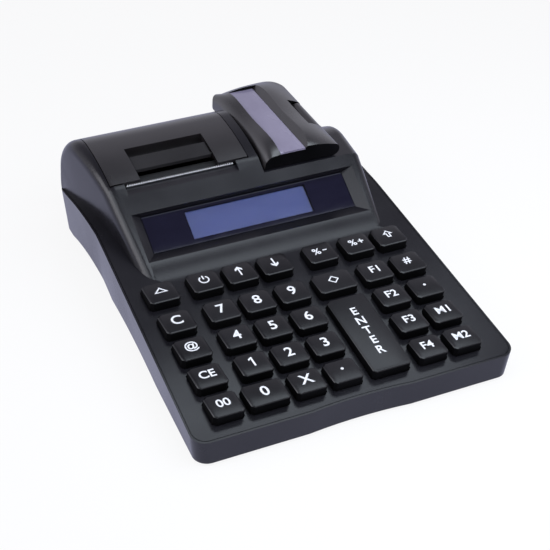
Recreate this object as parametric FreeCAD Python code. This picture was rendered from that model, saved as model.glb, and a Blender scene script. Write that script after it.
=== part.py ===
import FreeCAD, Part
import math
import os

# Compact ticket register: sloping keyboard, operator display under a tinted window, thermal
# printer with a lift-up door and a hinged customer display. Millimetres, +Z up, X across the
# machine, Y from front to back. The origin is on the table, under the middle of the machine.

os.makedirs("parts", exist_ok=True)
Vec = FreeCAD.Vector

# Case outline
case_depth = 205.0
front_half_width = 83.4
back_half_width = 74.2
taper_end = 142.0
front_corner_radius = 7.0
back_corner_radius = 11.0
side_draft = 7.0
front_dip_depth = 1.3
front_dip_half_width = 27.0
foot_stand = 1.2
case_wall = 2.6
rim_lip = 1.0
floor_thickness = 2.2
seam_gap = 0.3

# Deck and rim, seen from the side
deck_front_height = 14.1
deck_angle = 8.0
deck_run = 128.0
rim_crest_place = 152.0
rim_crest_height = 33.6
rim_fall_place = 176.0
rim_fall_height = 31.0
rim_back_height = 25.0
deck_wall = 2.2
skirt_depth = 6.0

# Underside of the lower case
front_floor_depth = 54.0
rear_floor_height = 7.0
front_arch_start = 58.0
front_arch_end = 128.0
front_arch_height = 2.6
rear_arch_end = 188.0
rear_arch_height = 4.6

# Hump behind the keyboard
hump_foot = 103.3
hump_foot_height = 29.0
hump_face_angle = 30.0
crown_start = 147.5
crown_start_height = 54.9
crown_top_height = 60.4
crown_turn = 21.5
hump_back_step = 0.5
hump_front_half_width = 67.7
hump_back_half_width = 78.0
hump_draft = 1.5
hump_edge_round = 6.0
shelf_left = 13.9
shelf_height = 50.3
shelf_roll_place = 160.0
shelf_roll_radius = 28.0
shelf_fall_angle = 33.0
shelf_edge_round = 5.0
crease_round = 12.0
hump_wall = 2.2

# Keys
key_pitch = 19.0
key_group_gap = 4.1
key_row_pitch = 18.2
top_row_gap = 2.5
key_width = 15.7
wide_key_width = 20.5
zero_key_width = 20.1
key_depth = 14.6
key_corner = 1.5
key_front_rise = 5.3
key_back_rise = 3.5
key_bevel = 0.5
key_travel = 1.8
key_clearance = 0.35
key_flange = 1.0
key_flange_reach = 1.15
key_flange_gap = 0.15
key_stem = 5.2
stem_clearance = 0.4
keypad_offset = -1.35
first_row_place = 8.2
mat_thickness = 1.0
mat_collar_wall = 0.9
board_thickness = 1.6
chip_height = 1.4
keypad_margin = 1.6

# Operator display
window_half_width = 62.0
window_low = 8.4
window_high = 35.0
window_slope_width = 5.0
window_top_slope = 0.6
window_depth = 3.4
lens_thickness = 1.6
lens_border = 2.0
cover_gap = 0.3
lcd_width = 78.0
lcd_height = 22.0
lcd_thickness = 4.2
lcd_raise = 0.4
lcd_glass_width = 67.0
lcd_glass_height = 15.6

# Printer and its door
door_left = -67.2
door_right = 8.6
door_front = 149.6
door_gap = 0.5
door_wall = 2.0
door_edge_gap = 0.4
hinge_turn = 8.0
hinge_barrel_radius = 3.6
hinge_pin_radius = 1.25
running_fit = 0.05
pin_grip = 3.0
notch_left = -51.0
notch_right = -8.0
notch_back = 172.5
notch_wall = 1.6
notch_pan_front = 161.5
notch_pan_low = 52.0
cheek_low = 53.3
lever_front = 157.1
lever_back = 166.6
lever_gap = 0.6
lever_thickness = 1.8
lever_sink = 1.0
lever_pivot_place = 158.9
lever_pin_radius = 0.8
platen_place = 155.0
platen_height = 47.6
platen_radius = 5.0
platen_length = 58.0
shaft_radius = 1.5
ear_gap = 0.9
ear_thickness = 1.6
ear_half_depth = 3.4
paper_centre = -29.4
head_depth = 4.8
head_low = 41.5
head_height = 9.0
head_gap = 0.3
blade_thickness = 0.5
blade_width = 59.0
blade_low = 51.0
blade_stand = 2.0
tooth_pitch = 1.25
tooth_depth = 1.3
lip_run = 4.4
lip_climb = 0.3
lip_wall = 1.1
lip_margin = 1.2

# Chassis and paper feed
chassis_wall = 1.6
chassis_front = 143.0
chassis_back = 154.0
chassis_top = 48.6
gear_module = 0.6
platen_teeth = 18
pinion_teeth = 12
gear_width = 3.0
gear_side_gap = 0.7
gear_backlash = 0.3
pinion_turn = 30.0
motor_radius = 7.5
motor_length = 16.0
motor_gap = 0.1

# Paper bay
bay_centre = 176.5
bay_radius = 20.0
bay_wall = 1.4
bay_side_play = 0.6
bay_rim = 36.4
bay_seat_gap = 0.2
bay_foot_width = 3.0

# Customer display
pod_left = 14.6
pod_front = 141.0
pod_overhang = 8.5
pod_bottom = 50.8
pod_hinge_x = 55.0
pod_barrel_radius = 3.4
pod_barrel_top = 25.0
pod_front_crest = 59.8
pod_middle_crest = 62.4
pod_rear_crest = 60.8
pod_back_crest = 56.8
pod_crest_x = 35.0
pod_side_x = 15.3
pod_side_height = 54.6
pod_shoulder_x = 21.6
pod_shoulder_drop = 2.1
pod_wall = 1.6
pod_left_corner = 7.5
pod_right_corner = 14.0
barrel_reach = 5.2
knuckle_place = 174.0
knuckle_length = 24.0
knuckle_gap = 1.0
knuckle_radius = 3.2
pod_pin_radius = 1.2
pod_pin_grip = 9.0
lens_left = 23.6
lens_right = 38.2
lens_back = 206.6
lens_height = 59.0
lens_slope = 3.6
pod_lens_thickness = 1.0
lens_ledge = 1.5
pod_cover_thickness = 1.2
pod_cover_gap = 0.2

# Feet, screws and sockets
foot_radius = 6.0
foot_sink = 0.8
foot_inset = 14.0
screw_seat = 4.2
screw_radius = 1.4
screw_length = 12.0
screw_head_radius = 2.8
screw_head_height = 1.8
boss_radius = 3.6
screw_post_radius = 3.2
boss_gap = 0.2
boss_height = 12.0
boss_inset = 9.5
socket_height = 17.0
socket_gap = 0.15
drawer_port_width = 9.8
drawer_port_height = 6.8
drawer_port_place = 26.0
port_depth = 12.0
port_wall = 1.6
jack_place = 48.0
jack_size = 9.0
jack_hole_radius = 3.1
jack_pin_radius = 1.0
jack_depth = 10.0

# One overrun for all cuts
over = 3.0

pod_back = case_depth + pod_overhang
hump_back = case_depth - hump_back_step
crown_top = hump_back - crown_turn
front_edge = -pod_back / 2
back_edge = front_edge + case_depth
slope = math.radians(deck_angle)
face_slope = math.radians(hump_face_angle)


def yy(place):
    """Y of a place measured from the front edge of the case."""
    return front_edge + place


def export(name, shape):
    """One STEP file per piece."""
    shape.exportStep("parts/" + name + ".step")
    print(name, "solids", len(shape.Solids), "volume", round(shape.Volume, 1), "valid", shape.isValid())


def box(x0, x1, y0, y1, z0, z1):
    """Box from its two corners."""
    return Part.makeBox(x1 - x0, y1 - y0, z1 - z0, Vec(x0, y0, z0))


def rod(radius, start, end):
    """Round bar between two points."""
    axis = end - start
    return Part.makeCylinder(radius, axis.Length, start, axis)


def polygon_face(points):
    return Part.Face(Part.makePolygon(points + [points[0]]))


def prism_x(points, x0, x1):
    """Polygon in (place, height) extruded along X."""
    face = polygon_face([Vec(x0, yy(place), height) for place, height in points])
    return face.extrude(Vec(x1 - x0, 0, 0))


def line(a, b):
    return Part.LineSegment(a, b).toShape()


def arc(a, b, c):
    return Part.Arc(a, b, c).toShape()


def rounded(corner, before, after, radius):
    """Arc that rounds a corner between two straight edges: start, middle and end."""
    to_before = (before - corner).normalize()
    to_after = (after - corner).normalize()
    half = to_before.getAngle(to_after) / 2
    reach = radius / math.tan(half)
    start = corner + to_before * reach
    end = corner + to_after * reach
    middle_way = (to_before + to_after).normalize()
    middle = corner + middle_way * (radius / math.sin(half) - radius)
    return start, middle, end


# Case outline and rim line
def case_wire(height, inset):
    """Plan outline of the case at a height, drawn in by an inset."""
    lean = height * math.tan(math.radians(side_draft)) - inset
    front = front_half_width + lean
    back = back_half_width + lean
    y_front = front_edge + inset
    y_back = back_edge - inset
    y_taper = yy(taper_end)
    radius = front_corner_radius - inset / 2
    corner = Vec(front, y_front, height)
    taper = Vec(back, y_taper, height)
    inner = Vec(0, y_front, height)
    start, middle, end = rounded(corner, inner, taper, radius)
    back_corner = Vec(back, y_back, height)
    back_middle = Vec(0, y_back, height)
    b_start, b_middle, b_end = rounded(back_corner, taper, back_middle, back_corner_radius - inset)
    dip_x = front_dip_half_width

    def mirror(p):
        return Vec(-p.x, p.y, p.z)

    edges = []
    dip_edge = Vec(dip_x, y_front, height)
    edges.append(arc(mirror(dip_edge), Vec(0, y_front + front_dip_depth, height), dip_edge))
    edges.append(line(dip_edge, start))
    edges.append(arc(start, middle, end))
    edges.append(line(end, taper))
    edges.append(line(taper, b_start))
    edges.append(arc(b_start, b_middle, b_end))
    edges.append(line(b_end, mirror(b_end)))
    edges.append(arc(mirror(b_end), mirror(b_middle), mirror(b_start)))
    edges.append(line(mirror(b_start), mirror(taper)))
    edges.append(line(mirror(taper), mirror(end)))
    edges.append(arc(mirror(end), mirror(middle), mirror(start)))
    edges.append(line(mirror(start), mirror(dip_edge)))
    return Part.Wire(edges)


def case_prism(low, high, inset):
    return Part.makeLoft([case_wire(low, inset), case_wire(high, inset)], True, True)


def rim_edges(x, drop):
    """Side line of the rim, from front to back, lowered by a drop."""
    front = Vec(x, front_edge - over, deck_front_height - over * math.tan(slope) - drop)
    bend = Vec(x, yy(deck_run), deck_front_height + deck_run * math.tan(slope) - drop)
    crest = Vec(x, yy(rim_crest_place), rim_crest_height - drop)
    fall = Vec(x, yy(rim_fall_place), rim_fall_height - drop)
    fall_slope = (rim_back_height - rim_fall_height) / (case_depth - rim_fall_place)
    back = Vec(x, back_edge + over, rim_back_height + fall_slope * over - drop)
    return [line(front, bend), arc(bend, crest, fall), line(fall, back)], front, back


def under_rim(drop):
    """Solid that fills everything below the rim line, lowered by a drop."""
    reach = front_half_width + over * over
    edges, front, back = rim_edges(-reach, drop)
    low = -over
    edges.append(line(back, Vec(-reach, back.y, low)))
    edges.append(line(Vec(-reach, back.y, low), Vec(-reach, front.y, low)))
    edges.append(line(Vec(-reach, front.y, low), front))
    return Part.Face(Part.Wire(edges)).extrude(Vec(2 * reach, 0, 0))


# Hump
def hump_profile(x):
    """Side profile of the hump: display face, crown arc, quarter-round back."""
    low = rear_floor_height
    foot = Vec(x, yy(hump_foot) - (hump_foot_height - low) / math.tan(face_slope), low)
    top = Vec(x, yy(crown_start), crown_start_height)
    peak = Vec(x, yy(crown_top), crown_top_height)
    run = crown_top - crown_start
    rise = crown_top_height - crown_start_height
    crown_radius = (run * run + rise * rise) / (2 * rise)
    half = math.asin(run / crown_radius) / 2
    crown = Vec(x, peak.y - crown_radius * math.sin(half), peak.z - crown_radius * (1 - math.cos(half)))
    centre = Vec(x, peak.y, peak.z - crown_turn)
    diagonal = crown_turn * math.sqrt(1 / 2)
    bend = Vec(x, centre.y + diagonal, centre.z + diagonal)
    drop = Vec(x, centre.y + crown_turn, centre.z)
    heel = Vec(x, drop.y, low)
    edges = [line(foot, top), arc(top, crown, peak), arc(peak, bend, drop), line(drop, heel), line(heel, foot)]
    return Part.Wire(edges)


def hump_plan(height, inset):
    """Plan outline of the hump: sides that widen towards the back."""
    lean = height * math.tan(math.radians(hump_draft)) + inset
    rate = (hump_back_half_width - hump_front_half_width) / (hump_back - hump_foot)
    y_front = front_edge
    y_back = back_edge + over
    front = hump_front_half_width - rate * hump_foot - lean
    back = front + rate * (y_back - y_front)
    corners = [Vec(-front, y_front, height), Vec(front, y_front, height)]
    corners += [Vec(back, y_back, height), Vec(-back, y_back, height)]
    return Part.makePolygon(corners + [corners[0]])


def shelf_block(grow):
    """Space above the shelf of the customer display, which rolls off towards the back."""
    x = shelf_left - grow
    radius = shelf_roll_radius - grow
    centre = Vec(x, yy(shelf_roll_place), shelf_height - shelf_roll_radius)
    fall = math.radians(shelf_fall_angle)
    start = centre + Vec(0, 0, radius)
    middle = centre + Vec(0, radius * math.sin(fall / 2), radius * math.cos(fall / 2))
    end = centre + Vec(0, radius * math.sin(fall), radius * math.cos(fall))
    run = back_edge + over - end.y
    back = Vec(x, end.y + run, end.z - run * math.tan(fall))
    front = Vec(x, yy(hump_foot), start.z)
    high = crown_top_height + over
    edges = [line(front, start), arc(start, middle, end), line(end, back),
             line(back, Vec(x, back.y, high)), line(Vec(x, back.y, high), Vec(x, front.y, high)),
             line(Vec(x, front.y, high), front)]
    return Part.Face(Part.Wire(edges)).extrude(Vec(2 * front_half_width, 0, 0))


def edges_on_side(block, side):
    """Rising and lengthwise edges on one side of the hump, above its foot."""
    picked = []
    for edge in block.Edges:
        bounds = edge.BoundBox
        middle = edge.CenterOfMass
        outside = middle.x * side > hump_front_half_width - 2 * hump_edge_round
        across = bounds.XLength > 2 * hump_edge_round
        level = bounds.ZLength < seam_gap and bounds.YLength < seam_gap
        if outside and not across and not level and middle.z > hump_foot_height / 2:
            picked.append(edge)
    return picked


def hump_body(inset):
    """Solid of the hump without its shelf, drawn in by an inset; the outer one has rounded edges."""
    reach = front_half_width
    wire = hump_profile(-reach)
    if inset > 0:
        wire = wire.makeOffset2D(-inset, 0)
    profile = Part.Face(wire).extrude(Vec(2 * reach, 0, 0))
    if inset == 0:
        crease = [e for e in profile.Edges if e.BoundBox.XLength > reach and
                  abs(e.CenterOfMass.z - crown_start_height) < seam_gap]
        profile = profile.makeFillet(crease_round, crease)
    top = crown_top_height + over
    plan = Part.makeLoft([hump_plan(0, inset), hump_plan(top, inset)], True, True)
    block = profile.common(plan)
    if inset > 0:
        return block
    return block.makeFillet(hump_edge_round, edges_on_side(block, -1))


def hump_block(inset):
    """Solid of the hump with the shelf cut down on its right."""
    block = hump_body(inset).cut(shelf_block(inset))
    if inset > 0:
        return block
    return block.makeFillet(shelf_edge_round, edges_on_side(block, 1))


def face_point(x, up_face, out):
    """Point on the display face: distance up the face from its foot and out of it."""
    y = yy(hump_foot) + up_face * math.cos(face_slope) - out * math.sin(face_slope)
    z = hump_foot_height + up_face * math.sin(face_slope) + out * math.cos(face_slope)
    return Vec(x, y, z)


def face_slab(x0, x1, low, high, deep, proud):
    """Block lying in the display face, from deep under it to proud of it."""
    corners = [face_point(x0, low, -deep), face_point(x0, high, -deep)]
    corners += [face_point(x0, high, proud), face_point(x0, low, proud)]
    return polygon_face(corners).extrude(Vec(x1 - x0, 0, 0))


# Keyboard grid
def deck_point(x, along, up):
    """Point by its distance along the deck and height above it."""
    y = front_edge + along * math.cos(slope) - up * math.sin(slope)
    z = deck_front_height + along * math.sin(slope) + up * math.cos(slope)
    return Vec(x, y, z)


def column_places():
    """Middles of the seven key columns, in three groups."""
    steps = [0, key_pitch + key_group_gap, key_pitch, key_pitch]
    steps += [key_pitch + key_group_gap, key_pitch + key_group_gap, key_pitch]
    places = []
    x = 0
    for step in steps:
        x = x + step
        places.append(x)
    half = places[-1] / 2
    return [place - half + keypad_offset for place in places]


columns = column_places()
rows = [first_row_place + n * key_row_pitch for n in range(4)]
rows.append(rows[-1] + key_row_pitch + top_row_gap)
wide_right = columns[4] + wide_key_width / 2
zero_right = columns[1] + key_width / 2


def key_layout():
    """Name, middle in X, front edge along the deck, width and depth of every key."""
    keys = []

    def add(name, x, row, width, depth):
        keys.append((name, x, rows[row], width, depth))

    plain = {
        4: ["feed", "power", "up", "down", None, "percent_plus", "shift"],
        3: ["clear", "seven", "eight", "nine", None, "group_one", "code"],
        2: ["price", "four", "five", "six", None, "group_two", "dot_right"],
        1: ["void", "one", "two", "three", None, "group_three", "pay_one"],
        0: ["lookup", None, "times", "point", None, "group_four", "pay_two"],
    }
    for row, names in plain.items():
        for column, name in enumerate(names):
            if name is not None:
                add("key_" + name, columns[column], row, key_width, key_depth)
    add("key_percent_minus", wide_right - key_width / 2, 4, key_width, key_depth)
    add("key_subtotal", columns[4], 3, wide_key_width, key_depth)
    add("key_zero", zero_right - zero_key_width / 2, 0, zero_key_width, key_depth)
    add("key_total", columns[4], 0, wide_key_width, 2 * key_row_pitch + key_depth)
    return keys


def ring(x, along, width, depth, corner, height):
    """Eight corners of a cut-corner rectangle; height is a function of the place along."""
    half = width / 2
    plan = [(-half + corner, 0), (half - corner, 0), (half, corner), (half, depth - corner)]
    plan += [(half - corner, depth), (-half + corner, depth), (-half, depth - corner), (-half, corner)]
    return [deck_point(x + px, along + py, height(py)) for px, py in plan]


def skin(rings):
    """Solid from a stack of matching rings of corners."""
    faces = [polygon_face(rings[0]), polygon_face(rings[-1])]
    count = len(rings[0])
    for low, high in zip(rings, rings[1:]):
        for n in range(count):
            m = (n + 1) % count
            faces.append(polygon_face([low[n], low[m], high[m], high[n]]))
    shell = Part.makeShell(faces)
    solid = Part.makeSolid(shell)
    if solid.Volume < 0:
        solid.reverse()
    return solid


flange_top = -deck_wall - key_flange_gap
flange_low = flange_top - key_flange
collar_top = flange_low - key_travel - key_flange_gap
stem_low = collar_top - stem_clearance
mat_top = stem_low - key_travel - stem_clearance
mat_low = mat_top - mat_thickness
board_low = mat_low - board_thickness


def grown(x, along, width, depth, grow, corner, height):
    return ring(x, along - grow, width + 2 * grow, depth + 2 * grow, corner, lambda p: height)


def key_cap(x, along, width, depth):
    """Cap with a sloping top and bevelled edge, a holding flange under the deck and a stem."""

    def top(place):
        share = place / key_depth
        return key_front_rise + (key_back_rise - key_front_rise) * min(share, depth / key_depth)

    rate = (key_back_rise - key_front_rise) / depth

    def shoulder(place):
        return key_front_rise + rate * place - key_bevel

    def crest(place):
        return key_front_rise + rate * (place + key_bevel)

    walls = ring(x, along, width, depth, key_corner, shoulder)
    low = ring(x, along, width, depth, key_corner, lambda p: flange_top)
    inner = ring(x, along + key_bevel, width - 2 * key_bevel, depth - 2 * key_bevel, key_corner, crest)
    cap = skin([low, walls, inner])
    reach = key_flange_reach
    flange = skin([grown(x, along, width, depth, reach, key_corner, flange_low),
                   grown(x, along, width, depth, reach, key_corner, flange_top)])
    half = key_stem / 2
    middle = along + depth / 2
    post = skin([ring(x, middle - half, key_stem, key_stem, key_bevel, lambda p: stem_low),
                 ring(x, middle - half, key_stem, key_stem, key_bevel, lambda p: flange_low)])
    return cap.fuse([flange, post]).removeSplitter()


def key_hole(x, along, width, depth):
    """Opening in the deck for one key."""
    reach = key_clearance
    return skin([grown(x, along, width, depth, reach, key_corner, -deck_wall - over),
                 grown(x, along, width, depth, reach, key_corner, key_front_rise)])


keys = key_layout()
keypad_front = first_row_place - keypad_margin
keypad_back = rows[-1] + key_depth + keypad_margin
keypad_half = columns[-1] - keypad_offset + key_width / 2 + keypad_margin
rib_shares = (-0.85, -0.28, 0.28, 0.85)


# Lower case
floor_top = rear_floor_height + floor_thickness
front_floor_top = foot_stand + floor_thickness


screw_tip = screw_seat + screw_length


def screw_places():
    """Two screws beside the display and two at the back corners."""
    x = back_half_width - boss_inset
    y_middle = yy(taper_end) - boss_inset
    y_back = back_edge - boss_inset
    return [(-x, y_middle), (x, y_middle), (-x, y_back), (x, y_back)]


def foot_places():
    """Feet near the front corners and, closer together, at the back."""
    front_x = front_half_width - foot_inset
    back_x = back_half_width - 2 * foot_inset
    y_front = front_edge + foot_inset
    y_back = back_edge - 2 * foot_inset
    return [(-front_x, y_front), (front_x, y_front), (-back_x, y_back), (back_x, y_back)]


def board_ribs():
    """Ribs on the floor that carry the circuit board."""
    ribs = []
    start = deck_point(0, keypad_front, board_low)
    end = deck_point(0, keypad_back, board_low)
    low = foot_stand + floor_thickness / 2
    for share in rib_shares:
        x = keypad_offset + share * keypad_half
        points = [Vec(x, start.y, low), Vec(x, end.y, low), Vec(x, end.y, end.z), Vec(x, start.y, start.z)]
        ribs.append(polygon_face(points).extrude(Vec(case_wall / 2, 0, 0)))
    return ribs


def side_arch(start, end, height):
    """Shallow arch cut up into the lower edge of both sides."""
    reach = front_half_width + over
    a = Vec(-reach, yy(start), foot_stand)
    b = Vec(-reach, yy((start + end) / 2), foot_stand + height)
    c = Vec(-reach, yy(end), foot_stand)
    face = Part.Face(Part.Wire([arc(a, b, c), line(c, a)]))
    return face.extrude(Vec(2 * reach, 0, 0))


def wide_box(start, end, low, high):
    """Box right across the machine between two places and two heights."""
    reach = 2 * front_half_width
    return box(-reach, reach, yy(start), yy(end), low, high)


def lower_case():
    """Tray with drafted walls, a thin rim lip, a stepped floor, side arches and screw bosses."""
    high = rim_crest_height + over
    tray = case_prism(foot_stand, high, 0).common(under_rim(0))
    hollow = case_prism(front_floor_top, high + over, case_wall)
    step = wide_box(front_floor_depth, case_depth + over, 0, floor_top)
    tray = tray.cut(hollow.cut(step))
    rebate = case_prism(front_floor_top, high + over, rim_lip).cut(under_rim(skirt_depth + seam_gap))
    tray = tray.cut(rebate)
    under = case_prism(0, rear_floor_height, case_wall)
    behind_step = wide_box(front_floor_depth + floor_thickness, case_depth + over, 0, rear_floor_height)
    tray = tray.cut(under.common(behind_step))
    tray = tray.cut(side_arch(front_arch_start, front_arch_end, front_arch_height))
    tray = tray.cut(side_arch(front_arch_end, rear_arch_end, rear_arch_height))
    posts = []
    for x, y in screw_places():
        posts.append(rod(boss_radius, Vec(x, y, screw_seat), Vec(x, y, boss_height)))
    for x, y in foot_places()[2:]:
        posts.append(rod(foot_radius + case_wall, Vec(x, y, foot_stand), Vec(x, y, floor_top)))
    ribs = [rib.cut(under.common(behind_step)) for rib in board_ribs()]
    tray = tray.fuse(posts + ribs)
    sink = screw_seat + screw_head_height + boss_gap
    for x, y in screw_places():
        tray = tray.cut(rod(screw_head_radius + boss_gap, Vec(x, y, 0), Vec(x, y, sink)))
        tray = tray.cut(rod(screw_radius + boss_gap, Vec(x, y, 0), Vec(x, y, high)))
    for x, y in foot_places():
        tray = tray.cut(rod(foot_radius + boss_gap, Vec(x, y, 0), Vec(x, y, foot_stand + foot_sink)))
    tray = tray.cut([socket_hole(drawer_port_place, drawer_port_width + 2 * port_wall,
                                 drawer_port_height + 2 * port_wall),
                     socket_hole(jack_place, jack_size, jack_size)])
    return tray.removeSplitter()


def socket_hole(x, width, height):
    """Opening in the back wall round one socket."""
    half_w = width / 2 + socket_gap
    half_h = height / 2 + socket_gap
    return box(x - half_w, x + half_w, back_edge - case_wall - over, back_edge + 2 * over,
               socket_height - half_h, socket_height + half_h)


# Upper case
hinge_reach = crown_turn - hinge_barrel_radius
hinge_place = crown_top + hinge_reach * math.cos(math.radians(hinge_turn))
hinge_height = crown_top_height - crown_turn + hinge_reach * math.sin(math.radians(hinge_turn))
door_cut_low = hinge_height - hinge_barrel_radius - door_gap


def face_rectangle(half, low, high, out):
    """Rectangle lying in the display face, moved out of it."""
    corners = [face_point(-half, low, out), face_point(half, low, out)]
    corners += [face_point(half, high, out), face_point(-half, high, out)]
    return Part.makePolygon(corners + [corners[0]])


def window_recess():
    """Recess of the operator display: long slopes at the sides and below, a steep one above."""
    side = window_slope_width * over / window_depth
    upper = window_top_slope * over / window_depth
    bottom = face_rectangle(lens_half_width, lens_low, lens_high, -window_depth)
    top = face_rectangle(window_half_width + side, window_low - side, window_high + upper, over)
    return Part.makeLoft([bottom, top], True, True)


def window_slab(grow, deep, proud):
    """Block in the face under the recess, grown past the foot of its slopes."""
    half = lens_half_width + grow
    return face_slab(-half, half, lens_low - grow, lens_high + grow, deep, proud)


blade_place = door_front - door_edge_gap - blade_thickness
hump_outside = hump_block(0)
lens_half_width = window_half_width - window_slope_width
lens_low = window_low + window_slope_width
lens_high = window_high - window_top_slope
lens_seat = window_depth + lens_thickness


def door_opening():
    """Space for the printer door: from the tear bar over the crown and down the back."""
    return box(door_left - door_edge_gap, door_right + door_edge_gap, yy(blade_place), back_edge + over,
               door_cut_low, crown_top_height + over)


def hinge_boss(x0, x1):
    start = Vec(x0, yy(hinge_place), hinge_height)
    return rod(hinge_barrel_radius, start, Vec(x1, start.y, start.z))


def display_pocket():
    """Thick frame round the operator display, standing inside the hump."""
    reach = window_half_width + hump_wall
    return face_slab(-reach, reach, window_low - hump_wall, window_high + hump_wall,
                     lens_seat + hump_wall, over)


def upper_outside():
    """Outer form of the upper case: inside the rim lip below, over the rim at the hump."""
    inside = case_prism(0, rim_crest_height + over, rim_lip + seam_gap)
    hump = hump_outside.common(case_prism(0, crown_top_height + over, 0))
    parts = [hump_outside.common(inside), hump.cut(under_rim(-seam_gap))]
    return inside.common(under_rim(0)).fuse(parts)


def upper_inside():
    """Hollow of the upper case, kept inside the skirt where the hump meets the rim."""
    inside = case_prism(0, rim_crest_height + over, rim_lip + seam_gap + deck_wall)
    hollow = hump_block(hump_wall).common(case_prism(0, crown_top_height + over, hump_wall))
    parts = [hollow.common(inside), hollow.cut(under_rim(-deck_wall))]
    return inside.common(under_rim(deck_wall)).fuse(parts).cut(display_pocket())


lip_front = crown_start - lip_run
lip_low = crown_start_height - lip_run * math.tan(face_slope)
lip_top = lip_low + lip_climb


def paper_lip():
    """Thicker stretch of the hump that the paper lip is cut into."""
    half = blade_width / 2 + lip_margin + lip_wall
    outline = [(lip_front, lip_low), (blade_place, crown_start_height), (blade_place, lip_top - lip_wall),
               (lip_front, lip_low - lip_wall)]
    return prism_x(outline, paper_centre - half, paper_centre + half)


def lip_recess():
    """Space above the nearly level lip in front of the tear bar."""
    half = blade_width / 2 + lip_margin
    behind = blade_place + blade_thickness
    outline = [(lip_front, lip_low), (blade_place, lip_top), (behind, lip_top), (behind, crown_top_height),
               (lip_front, crown_top_height)]
    return prism_x(outline, paper_centre - half, paper_centre + half)


def screw_posts():
    """Posts for the case screws, each with a web to the side wall."""
    posts = []
    for x, y in screw_places():
        side = math.copysign(back_half_width, x)
        low = boss_height + boss_gap
        posts.append(rod(screw_post_radius, Vec(x, y, low), Vec(x, y, crown_top_height)))
        web = box(min(x, side), max(x, side), y - deck_wall / 2, y + deck_wall / 2,
                  rim_back_height - skirt_depth, crown_top_height)
        posts.append(web)
    return posts


def upper_case():
    """Deck with key openings and the hump shell, with display recess, printer opening and shelf."""
    outside = upper_outside()
    shell = outside.cut(upper_inside()).cut(under_rim(skirt_depth).cut(display_pocket()))
    posts = [post.common(outside) for post in screw_posts()]
    shell = shell.fuse([paper_lip()] + posts).cut(lip_recess())
    wall_x = hump_back_half_width - hump_wall
    edge = door_right + door_edge_gap
    bosses = [hinge_boss(-wall_x, door_left - door_edge_gap), hinge_boss(edge, edge + hinge_barrel_radius)]
    shell = shell.cut(door_opening()).fuse([boss.common(outside) for boss in bosses])
    shell = shell.cut(window_recess())
    shell = shell.cut(window_slab(0, lens_seat, -window_depth))
    shell = shell.cut(window_slab(-lens_border, lens_seat + 2 * hump_wall, 0))
    pin_start, pin_end = hinge_pin_ends(seam_gap)
    shell = shell.cut(rod(hinge_pin_radius + running_fit, pin_start, pin_end))
    for x, y in screw_places():
        low = boss_height - boss_gap
        shell = shell.cut(rod(screw_radius, Vec(x, y, low), Vec(x, y, screw_tip + seam_gap)))
    reach = drawer_port_width / 2 + port_wall + boss_gap
    high = socket_height + drawer_port_height / 2 + port_wall + boss_gap
    shell = shell.cut(box(drawer_port_place - reach, jack_place + reach, back_edge - port_depth,
                          back_edge, 0, high))
    holes = [key_hole(x, along, width, depth) for name, x, along, width, depth in keys]
    shell = shell.cut(holes)
    solids = sorted(shell.Solids, key=lambda solid: -solid.Volume)
    return solids[0].removeSplitter()


def hinge_pin_ends(extra):
    """Ends of the door's hinge pin, let into the bosses on both sides."""
    y = yy(hinge_place)
    left = door_left - door_edge_gap - pin_grip - extra
    right = door_right + door_edge_gap + pin_grip + extra
    return Vec(left, y, hinge_height), Vec(right, y, hinge_height)


# Boards, mat and operator display
def deck_plate(low, high):
    """Flat plate under the keys, between two levels measured from the deck."""
    depth = keypad_back - keypad_front
    corner = key_corner
    return skin([ring(keypad_offset, keypad_front, 2 * keypad_half, depth, corner, lambda p: low),
                 ring(keypad_offset, keypad_front, 2 * keypad_half, depth, corner, lambda p: high)])


def keypad_mat():
    """Rubber mat with a square collar round the stem of every key."""
    collars = []
    wells = []
    for name, x, along, width, depth in keys:
        middle = along + depth / 2
        hole = key_stem + 2 * stem_clearance
        side = hole + 2 * mat_collar_wall
        collars.append(skin([ring(x, middle - side / 2, side, side, key_bevel, lambda p: mat_low),
                             ring(x, middle - side / 2, side, side, key_bevel, lambda p: collar_top)]))
        wells.append(skin([ring(x, middle - hole / 2, hole, hole, key_bevel, lambda p: mat_top),
                           ring(x, middle - hole / 2, hole, hole, key_bevel, lambda p: collar_top + over)]))
    return deck_plate(mat_low, mat_top).fuse(collars).cut(wells).removeSplitter()


# Chips by shares: across the board, along it, and their sizes in key pitches
chip_shares = ((0.0, 0.62, 0.9, 0.9), (-0.5, 0.7, 0.6, 1.2), (0.55, 0.72, 1.2, 0.4))


def main_board():
    """Circuit board under the mat, with its chips below."""
    chips = []
    for share_x, share_y, width, depth in chip_shares:
        x = keypad_offset + share_x * keypad_half
        along = keypad_front + share_y * (keypad_back - keypad_front)
        size = (x, along, width * key_pitch, depth * key_pitch, key_bevel)
        chips.append(skin([ring(*size, lambda p: board_low - chip_height), ring(*size, lambda p: board_low)]))
    return deck_plate(board_low, mat_low).fuse(chips).removeSplitter()


def display_lens():
    """Tinted window, lying on the ledge at the foot of the recess slopes."""
    return window_slab(-cover_gap, lens_seat, -window_depth)


def operator_display():
    """Display module: board, frame and glass standing into the window."""
    half = lcd_width / 2
    middle = (lens_low + lens_high) / 2 + lcd_raise
    back = lens_seat + hump_wall
    frame = face_slab(-half, half, middle - lcd_height / 2, middle + lcd_height / 2,
                      back + lcd_thickness, -back - seam_gap / 2)
    half_glass = lcd_glass_width / 2
    glass = face_slab(-half_glass, half_glass, middle - lcd_glass_height / 2,
                      middle + lcd_glass_height / 2, back + seam_gap, -lens_seat - seam_gap / 2)
    return frame.fuse(glass).removeSplitter()


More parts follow.
